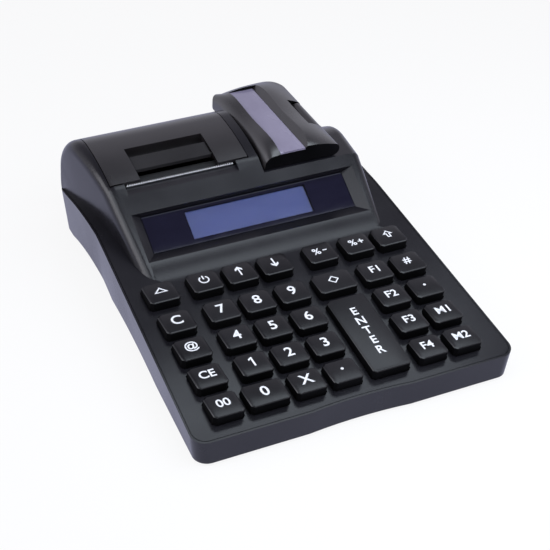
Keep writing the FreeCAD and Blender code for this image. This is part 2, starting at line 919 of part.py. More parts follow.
# Printer chassis, head and blade
roller_left = paper_centre - platen_length / 2
roller_right = paper_centre + platen_length / 2
ear_left = roller_left - ear_gap
ear_right = roller_right + ear_gap
gear_left = ear_right + ear_thickness + gear_side_gap
gear_right = gear_left + gear_width
plate_left = ear_left - ear_thickness - gear_side_gap - chassis_wall
plate_right = gear_right + gear_side_gap
pinion_distance = gear_module * (platen_teeth + pinion_teeth) / 2
pinion_place = platen_place - pinion_distance * math.sin(math.radians(pinion_turn))
pinion_height = platen_height - pinion_distance * math.cos(math.radians(pinion_turn))


def printer_chassis():
    """Folded steel bracket: base on the floor, front web and two side plates."""
    low = floor_top + bay_seat_gap
    right = plate_right + chassis_wall
    base = box(plate_left, right, yy(chassis_front), yy(chassis_back), low, low + chassis_wall)
    web = box(plate_left, right, yy(chassis_front), yy(chassis_front) + chassis_wall, low, chassis_top)
    sides = [box(x, x + chassis_wall, yy(chassis_front), yy(chassis_back), low, chassis_top)
             for x in (plate_left, plate_right)]
    body = base.fuse([web] + sides)
    centre = Vec(plate_left - over, yy(pinion_place), pinion_height)
    hole = rod(shaft_radius + seam_gap, Vec(plate_right - over, centre.y, centre.z),
               Vec(right + over, centre.y, centre.z))
    shaft_y = yy(platen_place)
    notch_half = shaft_radius + gear_side_gap
    slots = box(plate_left - over, right + over, shaft_y - notch_half, shaft_y + notch_half,
                platen_height - notch_half, chassis_top + over)
    return body.cut([hole, slots]).removeSplitter()


def print_head():
    """Heater bar: a block with a bevelled nose against the roller."""
    back = platen_place - platen_radius - head_gap
    front = back - head_depth
    top = head_low + head_height
    nose = head_depth / 4
    outline = [(front, head_low), (back, head_low), (back, top - nose), (back - nose, top),
               (front + 2 * nose, top), (front, top - nose)]
    return prism_x(outline, roller_left, roller_right)


def tear_bar():
    """Steel blade with a row of teeth along its top edge."""
    left = paper_centre - blade_width / 2
    y = yy(blade_place)
    top = lip_top + blade_stand
    count = int(blade_width / tooth_pitch)
    points = [Vec(left, y, blade_low), Vec(left + blade_width, y, blade_low)]
    step = blade_width / count
    points.append(Vec(left + blade_width, y, top - tooth_depth))
    for n in range(count):
        x = left + blade_width - n * step
        points.append(Vec(x - step / 2, y, top))
        points.append(Vec(x - step, y, top - tooth_depth))
    return polygon_face(points).extrude(Vec(0, blade_thickness, 0))


tooth_shares = ((-0.27, 0.0), (-0.12, 1.0), (0.12, 1.0), (0.27, 0.0))


def gear(teeth, x0, x1, place, height, turn):
    """Spur gear with straight-sided teeth, its axis along X."""
    pitch_radius = gear_module * teeth / 2
    outer = pitch_radius + gear_module
    root = pitch_radius - gear_module * 5 / 4
    points = []
    for n in range(teeth):
        for share, radius in tooth_shares:
            angle = turn + (n + share) * 2 * math.pi / teeth
            reach = root + (outer - gear_backlash - root) * radius
            points.append(Vec(x0, yy(place) + reach * math.cos(angle), height + reach * math.sin(angle)))
    return polygon_face(points).extrude(Vec(x1 - x0, 0, 0))


def mesh_turn():
    """Turn of the platen gear that puts a tooth gap towards the pinion."""
    towards = math.radians(-90.0 - pinion_turn)
    return towards + math.pi / platen_teeth, towards + math.pi


def platen_shaft():
    """Steel shaft with the feed gear moulded on its right end."""
    y = yy(platen_place)
    bar = rod(shaft_radius, Vec(ear_left - ear_thickness - seam_gap, y, platen_height),
              Vec(gear_right, y, platen_height))
    platen_turn, pinion_start = mesh_turn()
    wheel = gear(platen_teeth, gear_left, gear_right, platen_place, platen_height, platen_turn)
    return bar.fuse(wheel).removeSplitter()


def platen_roller():
    """Rubber sleeve on the shaft."""
    y = yy(platen_place)
    sleeve = rod(platen_radius, Vec(roller_left, y, platen_height), Vec(roller_right, y, platen_height))
    return sleeve.cut(rod(shaft_radius, Vec(ear_left, y, platen_height), Vec(ear_right, y, platen_height)))


def motor_pinion():
    platen_turn, pinion_start = mesh_turn()
    y = yy(pinion_place)
    wheel = gear(pinion_teeth, gear_left, gear_right, pinion_place, pinion_height, pinion_start)
    bar = rod(shaft_radius, Vec(gear_right, y, pinion_height),
              Vec(plate_right + chassis_wall + motor_gap + over, y, pinion_height))
    return wheel.fuse(bar).removeSplitter()


def feed_motor():
    """Round stepper motor on the outside of the chassis plate."""
    y = yy(pinion_place)
    start = plate_right + chassis_wall + motor_gap
    can = rod(motor_radius, Vec(start, y, pinion_height), Vec(start + motor_length, y, pinion_height))
    bore = rod(shaft_radius + running_fit, Vec(start - over, y, pinion_height),
               Vec(start + over + motor_gap, y, pinion_height))
    return can.cut(bore)


def paper_bay():
    """Trough for the paper roll: half-round bottom, end walls and two feet."""
    wall = bay_wall
    half = platen_length / 2 + bay_side_play
    x0 = paper_centre - half
    x1 = paper_centre + half
    axis_height = floor_top + bay_seat_gap + wall + bay_radius
    y = yy(bay_centre)

    def trough(radius, left, right, top):
        round_part = rod(radius, Vec(left, y, axis_height), Vec(right, y, axis_height))
        return round_part.fuse(box(left, right, y - radius, y + radius, axis_height, top))

    outer = trough(bay_radius + wall, x0 - wall, x1 + wall, bay_rim)
    outer = outer.common(box(x0 - wall, x1 + wall, y - case_depth, y + case_depth, 0, bay_rim))
    body = outer.cut(trough(bay_radius, x0, x1, bay_rim + bay_radius))
    feet = []
    for side in (-1, 1):
        middle = paper_centre + side * half / 2
        foot = box(middle - bay_foot_width / 2, middle + bay_foot_width / 2, y - bay_radius / 2,
                   y + bay_radius / 2, floor_top + bay_seat_gap, axis_height - bay_radius / 2)
        feet.append(foot.cut(trough(bay_radius + wall / 2, x0, x1, bay_rim)))
    return body.fuse(feet).removeSplitter()


# Printer door and its lever
def crown_height(place):
    """Height of the crown arc at a place in front of its top."""
    run = crown_top - crown_start
    rise = crown_top_height - crown_start_height
    radius = (run * run + rise * rise) / (2 * rise)
    across = crown_top - place
    return crown_top_height - radius + math.sqrt(radius * radius - across * across)


lever_pivot_height = crown_height(lever_pivot_place) - lever_sink - lever_thickness / 2 - seam_gap


def printer_door():
    """Curved cover with the lever notch, a hinge barrel and two ears that carry the roller."""
    opening = box(door_left, door_right, yy(door_front), back_edge + over, hinge_height,
                  crown_top_height + over)
    edge_x = door_left + 2 * door_wall
    thin = hump_profile(edge_x).makeOffset2D(-door_wall, 0)
    thick = hump_profile(-front_half_width).makeOffset2D(-2 * door_wall, 0)
    cores = [Part.Face(thin).extrude(Vec(front_half_width, 0, 0)),
             Part.Face(thick).extrude(Vec(front_half_width, 0, 0))]
    skin_part = hump_body(0).common(opening).cut(cores)
    barrel = hinge_boss(door_left, door_right)
    ears = []
    y = yy(platen_place)
    ear_top = crown_height(platen_place) - door_wall / 2
    for x in (ear_left - ear_thickness, ear_right):
        plate = box(x, x + ear_thickness, y - ear_half_depth, y + ear_half_depth, platen_height, ear_top)
        end = rod(ear_half_depth, Vec(x, y, platen_height), Vec(x + ear_thickness, y, platen_height))
        ears.append(plate.fuse(end))
    pan = prism_x([(notch_pan_front - notch_wall, notch_pan_low),
                   (notch_back + notch_wall, notch_pan_low),
                   (notch_back + notch_wall, crown_height(notch_back) - door_wall / 2),
                   (notch_pan_front - notch_wall, crown_height(notch_pan_front) - door_wall / 2)],
                  notch_left - notch_wall, notch_right + notch_wall)
    cheeks = prism_x([(lever_front, cheek_low), (notch_pan_front, cheek_low),
                      (notch_pan_front, crown_height(notch_pan_front) - door_wall / 2),
                      (lever_front, crown_height(lever_front) - door_wall / 2)],
                     notch_left - notch_wall, notch_right + notch_wall)
    door = skin_part.fuse([barrel, pan, cheeks] + ears)
    notch = box(notch_left, notch_right, yy(door_front) - over, yy(notch_pan_front), cheek_low - over,
                crown_top_height + over)
    back_notch = box(notch_left, notch_right, yy(door_front) - over, yy(notch_back),
                     notch_pan_low + notch_wall, crown_top_height + over)
    door = door.cut([notch, back_notch])
    hole = shaft_radius + running_fit
    door = door.cut(rod(hole, Vec(door_left, y, platen_height), Vec(door_right, y, platen_height)))
    pivot_y = yy(lever_pivot_place)
    half_grip = notch_wall / 2 + lever_gap / 2
    door = door.cut(rod(lever_pin_radius + running_fit,
                        Vec(notch_left - half_grip, pivot_y, lever_pivot_height),
                        Vec(notch_right + half_grip, pivot_y, lever_pivot_height)))
    start, end = hinge_pin_ends(over)
    door = door.cut(rod(hinge_pin_radius + running_fit, start, end))
    solids = sorted(door.Solids, key=lambda solid: -solid.Volume)
    return solids[0].removeSplitter()


def door_lever():
    """Release lever: a plate that follows the crown, with a pin at each end."""
    front_top = crown_height(lever_front) - lever_sink
    back_top = crown_height(lever_back) - lever_sink
    plate = prism_x([(lever_front, front_top - lever_thickness), (lever_back, back_top - lever_thickness),
                     (lever_back, back_top), (lever_front, front_top)],
                    notch_left + lever_gap, notch_right - lever_gap)
    y = yy(lever_pivot_place)
    bar = rod(lever_pin_radius, Vec(notch_left - notch_wall / 2, y, lever_pivot_height),
              Vec(notch_right + notch_wall / 2, y, lever_pivot_height))
    return plate.fuse(bar).removeSplitter()


# Customer display
pod_hinge_height = pod_bottom + pod_barrel_radius


def pod_section(place, crest, inset):
    """Cross-section of the customer display: steep left side, arched top, round hinge edge."""
    y = yy(place)
    radius = pod_barrel_radius
    centre = Vec(pod_hinge_x, y, pod_hinge_height)
    top_angle = math.radians(90.0 - pod_barrel_top)
    middle_angle = (top_angle - math.pi / 2) / 2
    low_left = Vec(pod_left + inset, y, pod_bottom)
    side = Vec(pod_side_x + inset, y, pod_side_height - inset / 2)
    shoulder = Vec(pod_shoulder_x + inset / 2, y, crest - pod_shoulder_drop - inset)
    bend = (side + shoulder) * (1 / 2) + Vec(-pod_wall / 2, 0, pod_wall / 2)
    high = Vec(pod_crest_x, y, crest - inset)
    if inset == 0:
        barrel_top = centre + Vec(radius * math.cos(top_angle), 0, radius * math.sin(top_angle))
        barrel_side = centre + Vec(radius * math.cos(middle_angle), 0, radius * math.sin(middle_angle))
        barrel_low = centre + Vec(0, 0, -radius)
        edges = [line(low_left, side), arc(side, bend, shoulder), arc(shoulder, high, barrel_top),
                 arc(barrel_top, barrel_side, barrel_low), line(barrel_low, low_left)]
    else:
        inner_x = pod_hinge_x - barrel_reach
        fall = (crest - pod_hinge_height) * (inner_x - pod_crest_x) / (pod_hinge_x - pod_crest_x) / 2
        inner_top = Vec(inner_x, y, crest - inset - fall)
        inner_low = Vec(inner_x, y, pod_bottom)
        edges = [line(low_left, side), arc(side, bend, shoulder), arc(shoulder, high, inner_top),
                 line(inner_top, inner_low), line(inner_low, low_left)]
    return Part.Wire(edges)


def pod_loft(inset):
    """Pod body through five cross-sections, arched in the middle and falling at the back."""
    length = pod_back - pod_front
    crests = [(pod_front + inset, pod_front_crest), (pod_front + length / 3, pod_middle_crest),
              (pod_front + length * 2 / 3, pod_middle_crest), (lens_back, pod_rear_crest),
              (pod_back - inset, pod_back_crest)]
    return Part.makeLoft([pod_section(place, crest, inset) for place, crest in crests], True, False)


def pod_plan(inset):
    """Plan outline of the pod: square front, rounded back corners."""
    x0 = pod_left + inset
    x1 = pod_hinge_x + pod_barrel_radius - inset
    y0 = yy(pod_front)
    y1 = yy(pod_back) - inset
    a, b, c = rounded(Vec(x1, y1, 0), Vec(x1, y0, 0), Vec(x0, y1, 0), pod_right_corner - inset)
    d, e, f = rounded(Vec(x0, y1, 0), Vec(x1, y1, 0), Vec(x0, y0, 0), pod_left_corner - inset)
    edges = [line(Vec(x0, y0, 0), Vec(x1, y0, 0)), line(Vec(x1, y0, 0), a), arc(a, b, c), line(c, d),
             arc(d, e, f), line(f, Vec(x0, y0, 0))]
    return Part.Face(Part.Wire(edges)).extrude(Vec(0, 0, 2 * pod_middle_crest))


def lens_recess(grow, low):
    """Window recess of the pod, with a long slope on the right; open at the front."""
    x0 = lens_left - grow
    x1 = lens_right + grow
    high = pod_middle_crest + over
    rate = lens_slope / (pod_middle_crest - lens_height)
    y0 = yy(pod_front) - over
    points = [Vec(x0, y0, low), Vec(x1, y0, low), Vec(x1, y0, lens_height - grow),
              Vec(x1 + rate * (high - lens_height), y0, high), Vec(x0, y0, high)]
    return polygon_face(points).extrude(Vec(0, yy(lens_back) + grow - y0, 0))


def knuckle_space():
    """Notch in the hinge edge of the pod."""
    half = knuckle_length / 2 + knuckle_gap
    middle = yy(knuckle_place)
    return box(pod_hinge_x - barrel_reach, pod_hinge_x + 2 * pod_barrel_radius, middle - half, middle + half,
               0, pod_middle_crest + over)


def pod_pin_line(extra):
    """Ends of the pod's hinge pin."""
    middle = yy(knuckle_place)
    half = knuckle_length / 2 + knuckle_gap + pod_pin_grip + extra
    return (Vec(pod_hinge_x, middle - half, pod_hinge_height),
            Vec(pod_hinge_x, middle + half, pod_hinge_height))


def customer_display_shell():
    """Upper shell of the customer display, open below for its cover."""
    outer = pod_loft(0).common(pod_plan(0))
    inner = pod_loft(pod_wall).common(pod_plan(pod_wall))
    floor_level = lens_height - pod_lens_thickness
    inner = inner.cut(lens_recess(pod_wall, floor_level - pod_wall))
    shell = outer.cut(inner)
    shell = shell.cut(lens_recess(0, floor_level))
    eye = box(lens_left + lens_ledge, lens_right - lens_ledge, yy(pod_front) + pod_wall + lens_ledge,
              yy(lens_back) - lens_ledge, pod_bottom, lens_height + over)
    shell = shell.cut(eye).cut(knuckle_space())
    start, end = pod_pin_line(seam_gap)
    shell = shell.cut(rod(pod_pin_radius + running_fit, start, end))
    solids = sorted(shell.Solids, key=lambda solid: -solid.Volume)
    return solids[0].removeSplitter()


def customer_display_cover():
    """Bottom cover of the customer display, let into the shell."""
    gap = pod_wall + pod_cover_gap
    radius = pod_left_corner - gap
    x0 = pod_left + gap
    x1 = pod_hinge_x - barrel_reach - pod_cover_gap
    y0 = yy(pod_front) + gap
    y1 = yy(pod_back) - gap
    d, e, f = rounded(Vec(x0, y1, pod_bottom), Vec(x1, y1, pod_bottom), Vec(x0, y0, pod_bottom), radius)
    edges = [line(Vec(x0, y0, pod_bottom), Vec(x1, y0, pod_bottom)),
             line(Vec(x1, y0, pod_bottom), Vec(x1, y1, pod_bottom)), line(Vec(x1, y1, pod_bottom), d),
             arc(d, e, f), line(f, Vec(x0, y0, pod_bottom))]
    plate = Part.Face(Part.Wire(edges)).extrude(Vec(0, 0, pod_cover_thickness))
    return plate.cut(knuckle_space())


def customer_lens():
    """Clear window lying in the recess of the customer display, cut flush with its outer form."""
    gap = pod_cover_gap
    plate = box(lens_left + gap, lens_right - gap, yy(pod_front) + gap, yy(lens_back) - gap,
                lens_height - pod_lens_thickness, lens_height)
    return plate.common(pod_loft(0))


def customer_lcd():
    """Display glass of the customer display, standing on the cover."""
    low = pod_bottom + pod_cover_thickness + pod_cover_gap / 2
    top = lens_height - pod_lens_thickness - pod_wall - pod_cover_gap
    gap = lens_ledge + pod_cover_gap
    return box(lens_left - gap, lens_right + gap, yy(pod_front) + pod_wall + gap, yy(lens_back) - gap,
               low, top)


def display_hinge():
    """Knuckle of the customer display with its foot on the falling shelf."""
    middle = yy(knuckle_place)
    half = knuckle_length / 2
    start = Vec(pod_hinge_x, middle - half, pod_hinge_height)
    end = Vec(pod_hinge_x, middle + half, pod_hinge_height)
    barrel = rod(knuckle_radius, start, end)
    foot = box(pod_hinge_x - knuckle_radius, pod_hinge_x + knuckle_radius, middle - half, middle + half,
               rim_crest_height, pod_hinge_height)
    body = barrel.fuse(foot.cut(hump_outside))
    return body.cut(rod(pod_pin_radius, start, end)).removeSplitter()


# Small pieces
def rubber_feet():
    """Four round feet let into the bottom."""
    feet = [rod(foot_radius, Vec(x, y, 0), Vec(x, y, foot_stand + foot_sink)) for x, y in foot_places()]
    return Part.makeCompound(feet)


def case_screws():
    """Four screws that hold the upper case down, driven from below."""
    screws = []
    for x, y in screw_places():
        head = rod(screw_head_radius, Vec(x, y, screw_seat), Vec(x, y, screw_seat + screw_head_height))
        screws.append(head.fuse(rod(screw_radius, Vec(x, y, screw_seat), Vec(x, y, screw_tip))))
    return Part.makeCompound(screws)


def drawer_port():
    """Six-way socket for a cash drawer, its mouth flush with the back."""
    half_w = drawer_port_width / 2
    half_h = drawer_port_height / 2
    y1 = back_edge - seam_gap
    y0 = y1 - port_depth - port_wall
    x = drawer_port_place
    body = box(x - half_w - port_wall, x + half_w + port_wall, y0, y1,
               socket_height - half_h - port_wall, socket_height + half_h + port_wall)
    return body.cut(box(x - half_w, x + half_w, y1 - port_depth, y1 + over,
                        socket_height - half_h, socket_height + half_h))


def power_jack():
    """Round power socket with its centre pin."""
    half = jack_size / 2
    y1 = back_edge - seam_gap
    y0 = y1 - jack_depth - port_wall
    body = box(jack_place - half, jack_place + half, y0, y1, socket_height - half, socket_height + half)
    mouth = Vec(jack_place, y1 + over, socket_height)
    floor_point = Vec(jack_place, y1 - jack_depth, socket_height)
    hole = rod(jack_hole_radius, floor_point, mouth)
    pin = rod(jack_pin_radius, floor_point, Vec(jack_place, y1 - seam_gap, socket_height))
    return body.cut(hole).fuse(pin).removeSplitter()


def door_hinge_pin():
    start, end = hinge_pin_ends(0)
    return rod(hinge_pin_radius, start, end)


def display_hinge_pin():
    start, end = pod_pin_line(0)
    return rod(pod_pin_radius, start, end)


pieces = {
    "lower_case": lower_case,
    "upper_case": upper_case,
    "keypad_mat": keypad_mat,
    "main_board": main_board,
    "display_lens": display_lens,
    "operator_display": operator_display,
    "printer_chassis": printer_chassis,
    "print_head": print_head,
    "tear_bar": tear_bar,
    "feed_motor": feed_motor,
    "motor_pinion": motor_pinion,
    "platen_shaft": platen_shaft,
    "platen_roller": platen_roller,
    "paper_bay": paper_bay,
    "printer_door": printer_door,
    "door_hinge_pin": door_hinge_pin,
    "door_lever": door_lever,
    "customer_display_shell": customer_display_shell,
    "customer_display_cover": customer_display_cover,
    "customer_lens": customer_lens,
    "customer_lcd": customer_lcd,
    "display_hinge": display_hinge,
    "display_hinge_pin": display_hinge_pin,
    "rubber_feet": rubber_feet,
    "case_screws": case_screws,
    "drawer_port": drawer_port,
    "power_jack": power_jack,
}

for name, x, along, width, depth in keys:
    export(name, key_cap(x, along, width, depth))
for name, make in pieces.items():
    export(name, make())
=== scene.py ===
# %% [markdown]
# # A compact ticket register
#
# The machine is a small black shop register: a sloping keyboard, a display under a dark window, a
# printer under a lift-up door and a second display for the customer. Its solids come from a CAD
# model, so this notebook moves and reshapes none of them. It gives them light, a camera and
# finishes, and it adds what is printed on them.

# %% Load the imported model
import math

import bmesh
import bpy
from mathutils import Matrix, Vector


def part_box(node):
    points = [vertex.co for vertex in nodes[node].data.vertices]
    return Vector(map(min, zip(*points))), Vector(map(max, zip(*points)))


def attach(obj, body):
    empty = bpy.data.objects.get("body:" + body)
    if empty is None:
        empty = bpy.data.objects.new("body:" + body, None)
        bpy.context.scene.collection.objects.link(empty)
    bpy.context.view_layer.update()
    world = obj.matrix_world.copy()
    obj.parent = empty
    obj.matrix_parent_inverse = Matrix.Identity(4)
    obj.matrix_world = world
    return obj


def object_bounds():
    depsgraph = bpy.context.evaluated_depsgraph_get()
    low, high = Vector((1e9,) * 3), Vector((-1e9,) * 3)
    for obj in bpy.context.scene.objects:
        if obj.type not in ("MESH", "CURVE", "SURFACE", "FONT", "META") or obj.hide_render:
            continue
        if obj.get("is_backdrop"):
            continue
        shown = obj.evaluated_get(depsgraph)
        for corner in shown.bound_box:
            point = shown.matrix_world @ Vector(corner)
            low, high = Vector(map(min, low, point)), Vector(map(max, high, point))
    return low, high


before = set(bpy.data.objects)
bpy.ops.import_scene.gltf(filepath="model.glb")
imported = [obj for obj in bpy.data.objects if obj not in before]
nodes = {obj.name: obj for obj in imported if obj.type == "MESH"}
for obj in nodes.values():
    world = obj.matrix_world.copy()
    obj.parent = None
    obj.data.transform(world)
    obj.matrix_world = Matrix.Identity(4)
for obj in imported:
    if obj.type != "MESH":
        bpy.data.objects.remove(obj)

cad_box = [list(corner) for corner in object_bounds()]
print(len(nodes), "solids, box in metres", cad_box)

# %% [markdown]
# Blender opens with a cube, a lamp and a camera of its own. Nothing here needs them, so they go
# first, and every light that falls on the machine is then one that this notebook made.

# %% Clear what Blender starts with
for spare in ("Cube", "Light", "Camera"):
    if spare in bpy.data.objects:
        bpy.data.objects.remove(bpy.data.objects[spare])

# %% [markdown]
# ## The camera
#
# The view was worked out from the keys: a key field is a regular grid, so the way it shrinks and
# leans gives the camera's place, its direction and its angle of view. One could turn a camera by
# eye until it fits, but a grid with a known pitch gives all of it at once, without guessing.

# %% Place the camera
camera_place = Vector((-0.28422, -0.54444, 0.47400))
camera_right = Vector((0.89842, -0.43616, 0.05095))
camera_up = Vector((0.22665, 0.55995, 0.79692))
camera_forward = Vector((0.37612, 0.70443, -0.60193))

lens = bpy.data.cameras.new("register_camera")
lens.lens = 97.72
lens.sensor_width = 36.0
camera = bpy.data.objects.new("register_camera", lens)
bpy.context.scene.collection.objects.link(camera)
turn = Matrix((camera_right, camera_up, -camera_forward)).transposed().to_4x4()
camera.matrix_world = Matrix.Translation(camera_place) @ turn
bpy.context.scene.camera = camera
bpy.context.scene.view_settings.view_transform = "Standard"
print("camera at", [round(c, 3) for c in camera.location], "focal length", lens.lens, "mm")

# %% [markdown]
# ## Light
#
# Black plastic has hardly any colour of its own. What the eye sees on it is the room: a pale table
# in the upright walls, a soft box overhead in the sloping faces, and the dimmer upper part of the
# room in the flat deck. So the light comes from large pale areas and not from small lamps. The
# world is bright at the horizon and dim overhead, and a wide soft box hangs over the front.

# %% Sky: bright at the horizon, dim overhead
world = bpy.data.worlds.new("studio")
bpy.context.scene.world = world
world.use_nodes = True
sky = world.node_tree
for old in list(sky.nodes):
    sky.nodes.remove(old)

direction = sky.nodes.new("ShaderNodeTexCoord")
split = sky.nodes.new("ShaderNodeSeparateXYZ")
heights = sky.nodes.new("ShaderNodeValToRGB")
heights.color_ramp.elements[0].position = 0.0
heights.color_ramp.elements[0].color = (0.82, 0.82, 0.92, 1.0)
heights.color_ramp.elements[1].position = 0.80
heights.color_ramp.elements[1].color = (0.17, 0.17, 0.20, 1.0)
middle_height = heights.color_ramp.elements.new(0.60)
middle_height.color = (0.40, 0.39, 0.45, 1.0)
seen = sky.nodes.new("ShaderNodeLightPath")
seen_or_through = sky.nodes.new("ShaderNodeMath")
seen_or_through.operation = "MAXIMUM"
pick = sky.nodes.new("ShaderNodeMix")
pick.data_type = "RGBA"
pick.inputs["B"].default_value = (1.0, 1.0, 1.0, 1.0)
back = sky.nodes.new("ShaderNodeBackground")
out = sky.nodes.new("ShaderNodeOutputWorld")
sky.links.new(direction.outputs["Generated"], split.inputs[0])
sky.links.new(split.outputs["Z"], heights.inputs["Fac"])
sky.links.new(seen.outputs["Is Camera Ray"], seen_or_through.inputs[0])
sky.links.new(seen.outputs["Is Transmission Ray"], seen_or_through.inputs[1])
sky.links.new(seen_or_through.outputs[0], pick.inputs["Factor"])
sky.links.new(heights.outputs["Color"], pick.inputs["A"])
sky.links.new(pick.outputs["Result"], back.inputs["Color"])
sky.links.new(back.outputs["Background"], out.inputs["Surface"])
print("sky nodes", len(sky.nodes))

# %% [markdown]
# The soft boxes are area lamps. The edge of the large one lies over the display, so that the face
# under the window catches it and the strip above the window does not, as a sloping glossy face
# shows in a studio. A narrow strip further back lights the hollow foot of that face, whose slope
# falls off towards the keys. Two boxes stand at the left, for the wall and for the rounded crown.

# %% Soft boxes
def soft_box(name, place, target, width, depth, watts, tint):
    """One area lamp that looks at a target."""
    lamp = bpy.data.lights.new(name, "AREA")
    lamp.shape = "RECTANGLE"
    lamp.size = width
    lamp.size_y = depth
    lamp.energy = watts
    lamp.color = tint
    holder = bpy.data.objects.new(name, lamp)
    bpy.context.scene.collection.objects.link(holder)
    holder.location = place
    look = Vector(target) - Vector(place)
    holder.rotation_euler = look.to_track_quat("-Z", "Y").to_euler()
    return holder


cool_white = (0.82, 0.91, 1.0)
overhead = soft_box("overhead_box", (0.15, -0.160, 0.30), (0.15, -0.1601, 0.0), 0.56, 0.26, 1.3, cool_white)
left_box = soft_box("left_box", (-0.95, 0.25, 0.55), (0.0, 0.0, 0.03), 0.7, 0.5, 3.0, (0.94, 0.94, 1.0))
high_box = soft_box("high_box", (-0.48, -0.04, 0.52), (0.0, 0.0, 0.04), 0.36, 0.30, 0.65, (0.88, 0.93, 1.0))
foot_strip = soft_box("apron_strip", (0.11, 0.065, 0.30), (0.11, 0.0649, 0.0), 0.26, 0.07, 0.14, cool_white)
overhead.visible_camera = False
print("lamps", [box.data.energy for box in (overhead, left_box, high_box, foot_strip)], "watts")

# %% [markdown]
# The table is a plain pale sheet. For the camera and for reflections it is nearly pure white,
# which a mix with a plain white light gives; the rest of the mix is an ordinary matt surface, so
# the machine keeps a soft shadow under it.

# %% Table
table_half = 2.5
flat_reach = 2.2
table_drop = 0.0001
rim_fall = 0.02
white_share = 0.88


def pale_table():
    """Wide sheet, bent down a little at its rim, with a white matt finish."""
    sheet = bmesh.new()
    bmesh.ops.create_grid(sheet, x_segments=24, y_segments=24, size=table_half)
    for corner in sheet.verts:
        far = max(0.0, corner.co.xy.length - flat_reach)
        corner.co.z = -table_drop - rim_fall * far
    mesh = bpy.data.meshes.new("table")
    sheet.to_mesh(mesh)
    sheet.free()
    table = bpy.data.objects.new("table", mesh)
    bpy.context.scene.collection.objects.link(table)
    paint = bpy.data.materials.new("table_white")
    paint.use_nodes = True
    tree = paint.node_tree
    tree.nodes.clear()
    matt = tree.nodes.new("ShaderNodeBsdfDiffuse")
    matt.inputs["Color"].default_value = (0.90, 0.90, 0.93, 1.0)
    glow = tree.nodes.new("ShaderNodeEmission")
    tint = tree.nodes.new("ShaderNodeMix")
    tint.data_type = "RGBA"
    tint.inputs["A"].default_value = (0.64, 0.65, 0.88, 1.0)
    tint.inputs["B"].default_value = (1.0, 1.0, 1.0, 1.0)
    path = tree.nodes.new("ShaderNodeLightPath")
    either = tree.nodes.new("ShaderNodeMath")
    either.operation = "MAXIMUM"
    share = tree.nodes.new("ShaderNodeMath")
    share.operation = "MULTIPLY"
    share.inputs[1].default_value = white_share
    blend = tree.nodes.new("ShaderNodeMixShader")
    result = tree.nodes.new("ShaderNodeOutputMaterial")
    tree.links.new(path.outputs["Is Camera Ray"], tint.inputs["Factor"])
    tree.links.new(tint.outputs["Result"], glow.inputs["Color"])
    tree.links.new(path.outputs["Is Camera Ray"], either.inputs[0])
    tree.links.new(path.outputs["Is Glossy Ray"], either.inputs[1])
    tree.links.new(either.outputs[0], share.inputs[0])
    tree.links.new(share.outputs[0], blend.inputs["Fac"])
    tree.links.new(matt.outputs[0], blend.inputs[1])
    tree.links.new(glow.outputs[0], blend.inputs[2])
    tree.links.new(blend.outputs[0], result.inputs["Surface"])
    mesh.materials.append(paint)
    return table


table = pale_table()
table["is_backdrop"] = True
print("table is", [round(c, 2) for c in table.dimensions], "metres")

# %% [markdown]
# ## Finishes
#
# Every finish is a small net of nodes round one shader. All of them read the place on the object
# in metres, so a grain of 0.4 mm is written as a scale of 2500 and keeps its size on every piece.
# Pictures could do the same, but a net of nodes needs no files and no unwrapping.

# %% Small helpers for finishes
def new_finish(name, **shader_values):
    """Material with one shader whose plain values are set on its own sockets."""
    made = bpy.data.materials.new(name)
    made.use_nodes = True
    shader = made.node_tree.nodes["Principled BSDF"]
    for socket, value in shader_values.items():
        shader.inputs[socket.replace("_", " ")].default_value = value
    return made


def add_node(made, kind, **settings):
    node = made.node_tree.nodes.new(kind)
    for key, value in settings.items():
        setattr(node, key, value)
    return node


def wire(made, source, target):
    made.node_tree.links.new(source, target)


def shader_of(made):
    return made.node_tree.nodes["Principled BSDF"]


print("finishes are read in metres on the object")


# %% [markdown]
# Three helpers make most of the surface: a speckle in space, a blend between two tones, and a bump
# from the speckle's height.

# %% Speckle, tones and bump
def speckle(made, scale, detail=3.0, stretch=(1.0, 1.0, 1.0)):
    """Noise in the object's own metres; stretch draws it out along an axis."""
    place = add_node(made, "ShaderNodeTexCoord")
    size = add_node(made, "ShaderNodeMapping")
    size.inputs["Scale"].default_value = stretch
    noise = add_node(made, "ShaderNodeTexNoise")
    noise.inputs["Scale"].default_value = scale
    noise.inputs["Detail"].default_value = detail
    wire(made, place.outputs["Object"], size.inputs["Vector"])
    wire(made, size.outputs["Vector"], noise.inputs["Vector"])
    return noise.outputs["Fac"]


def tones(made, source, dark, light, low=0.35, high=0.65):
    """Colour that runs between two tones as the speckle rises."""
    ramp = add_node(made, "ShaderNodeValToRGB")
    ramp.color_ramp.elements[0].position = low
    ramp.color_ramp.elements[0].color = (*dark, 1.0)
    ramp.color_ramp.elements[1].position = high
    ramp.color_ramp.elements[1].color = (*light, 1.0)
    wire(made, source, ramp.inputs["Fac"])
    return ramp.outputs["Color"]


def between(made, source, low, high):
    """Number that runs between two values as the speckle rises."""
    spread = add_node(made, "ShaderNodeMapRange")
    spread.inputs["From Min"].default_value = 0.3
    spread.inputs["From Max"].default_value = 0.7
    spread.inputs["To Min"].default_value = low
    spread.inputs["To Max"].default_value = high
    wire(made, source, spread.inputs["Value"])
    return spread.outputs["Result"]


def bump(made, source, depth, strength=1.0):
    """Relief of the surface, as deep as given in metres."""
    relief = add_node(made, "ShaderNodeBump")
    relief.inputs["Distance"].default_value = depth
    relief.inputs["Strength"].default_value = strength
    wire(made, source, relief.inputs["Height"])
    wire(made, relief.outputs["Normal"], shader_of(made).inputs["Normal"])


print("speckle, tones, between and bump are ready")


# %% [markdown]
# The case is moulded in black plastic from a mould with a fine eroded grain. Such a grain is far
# smaller than a pixel, so it shows as a satin gloss. A wide, weak cloud on top changes the gloss a
# little from place to place, as handling does.

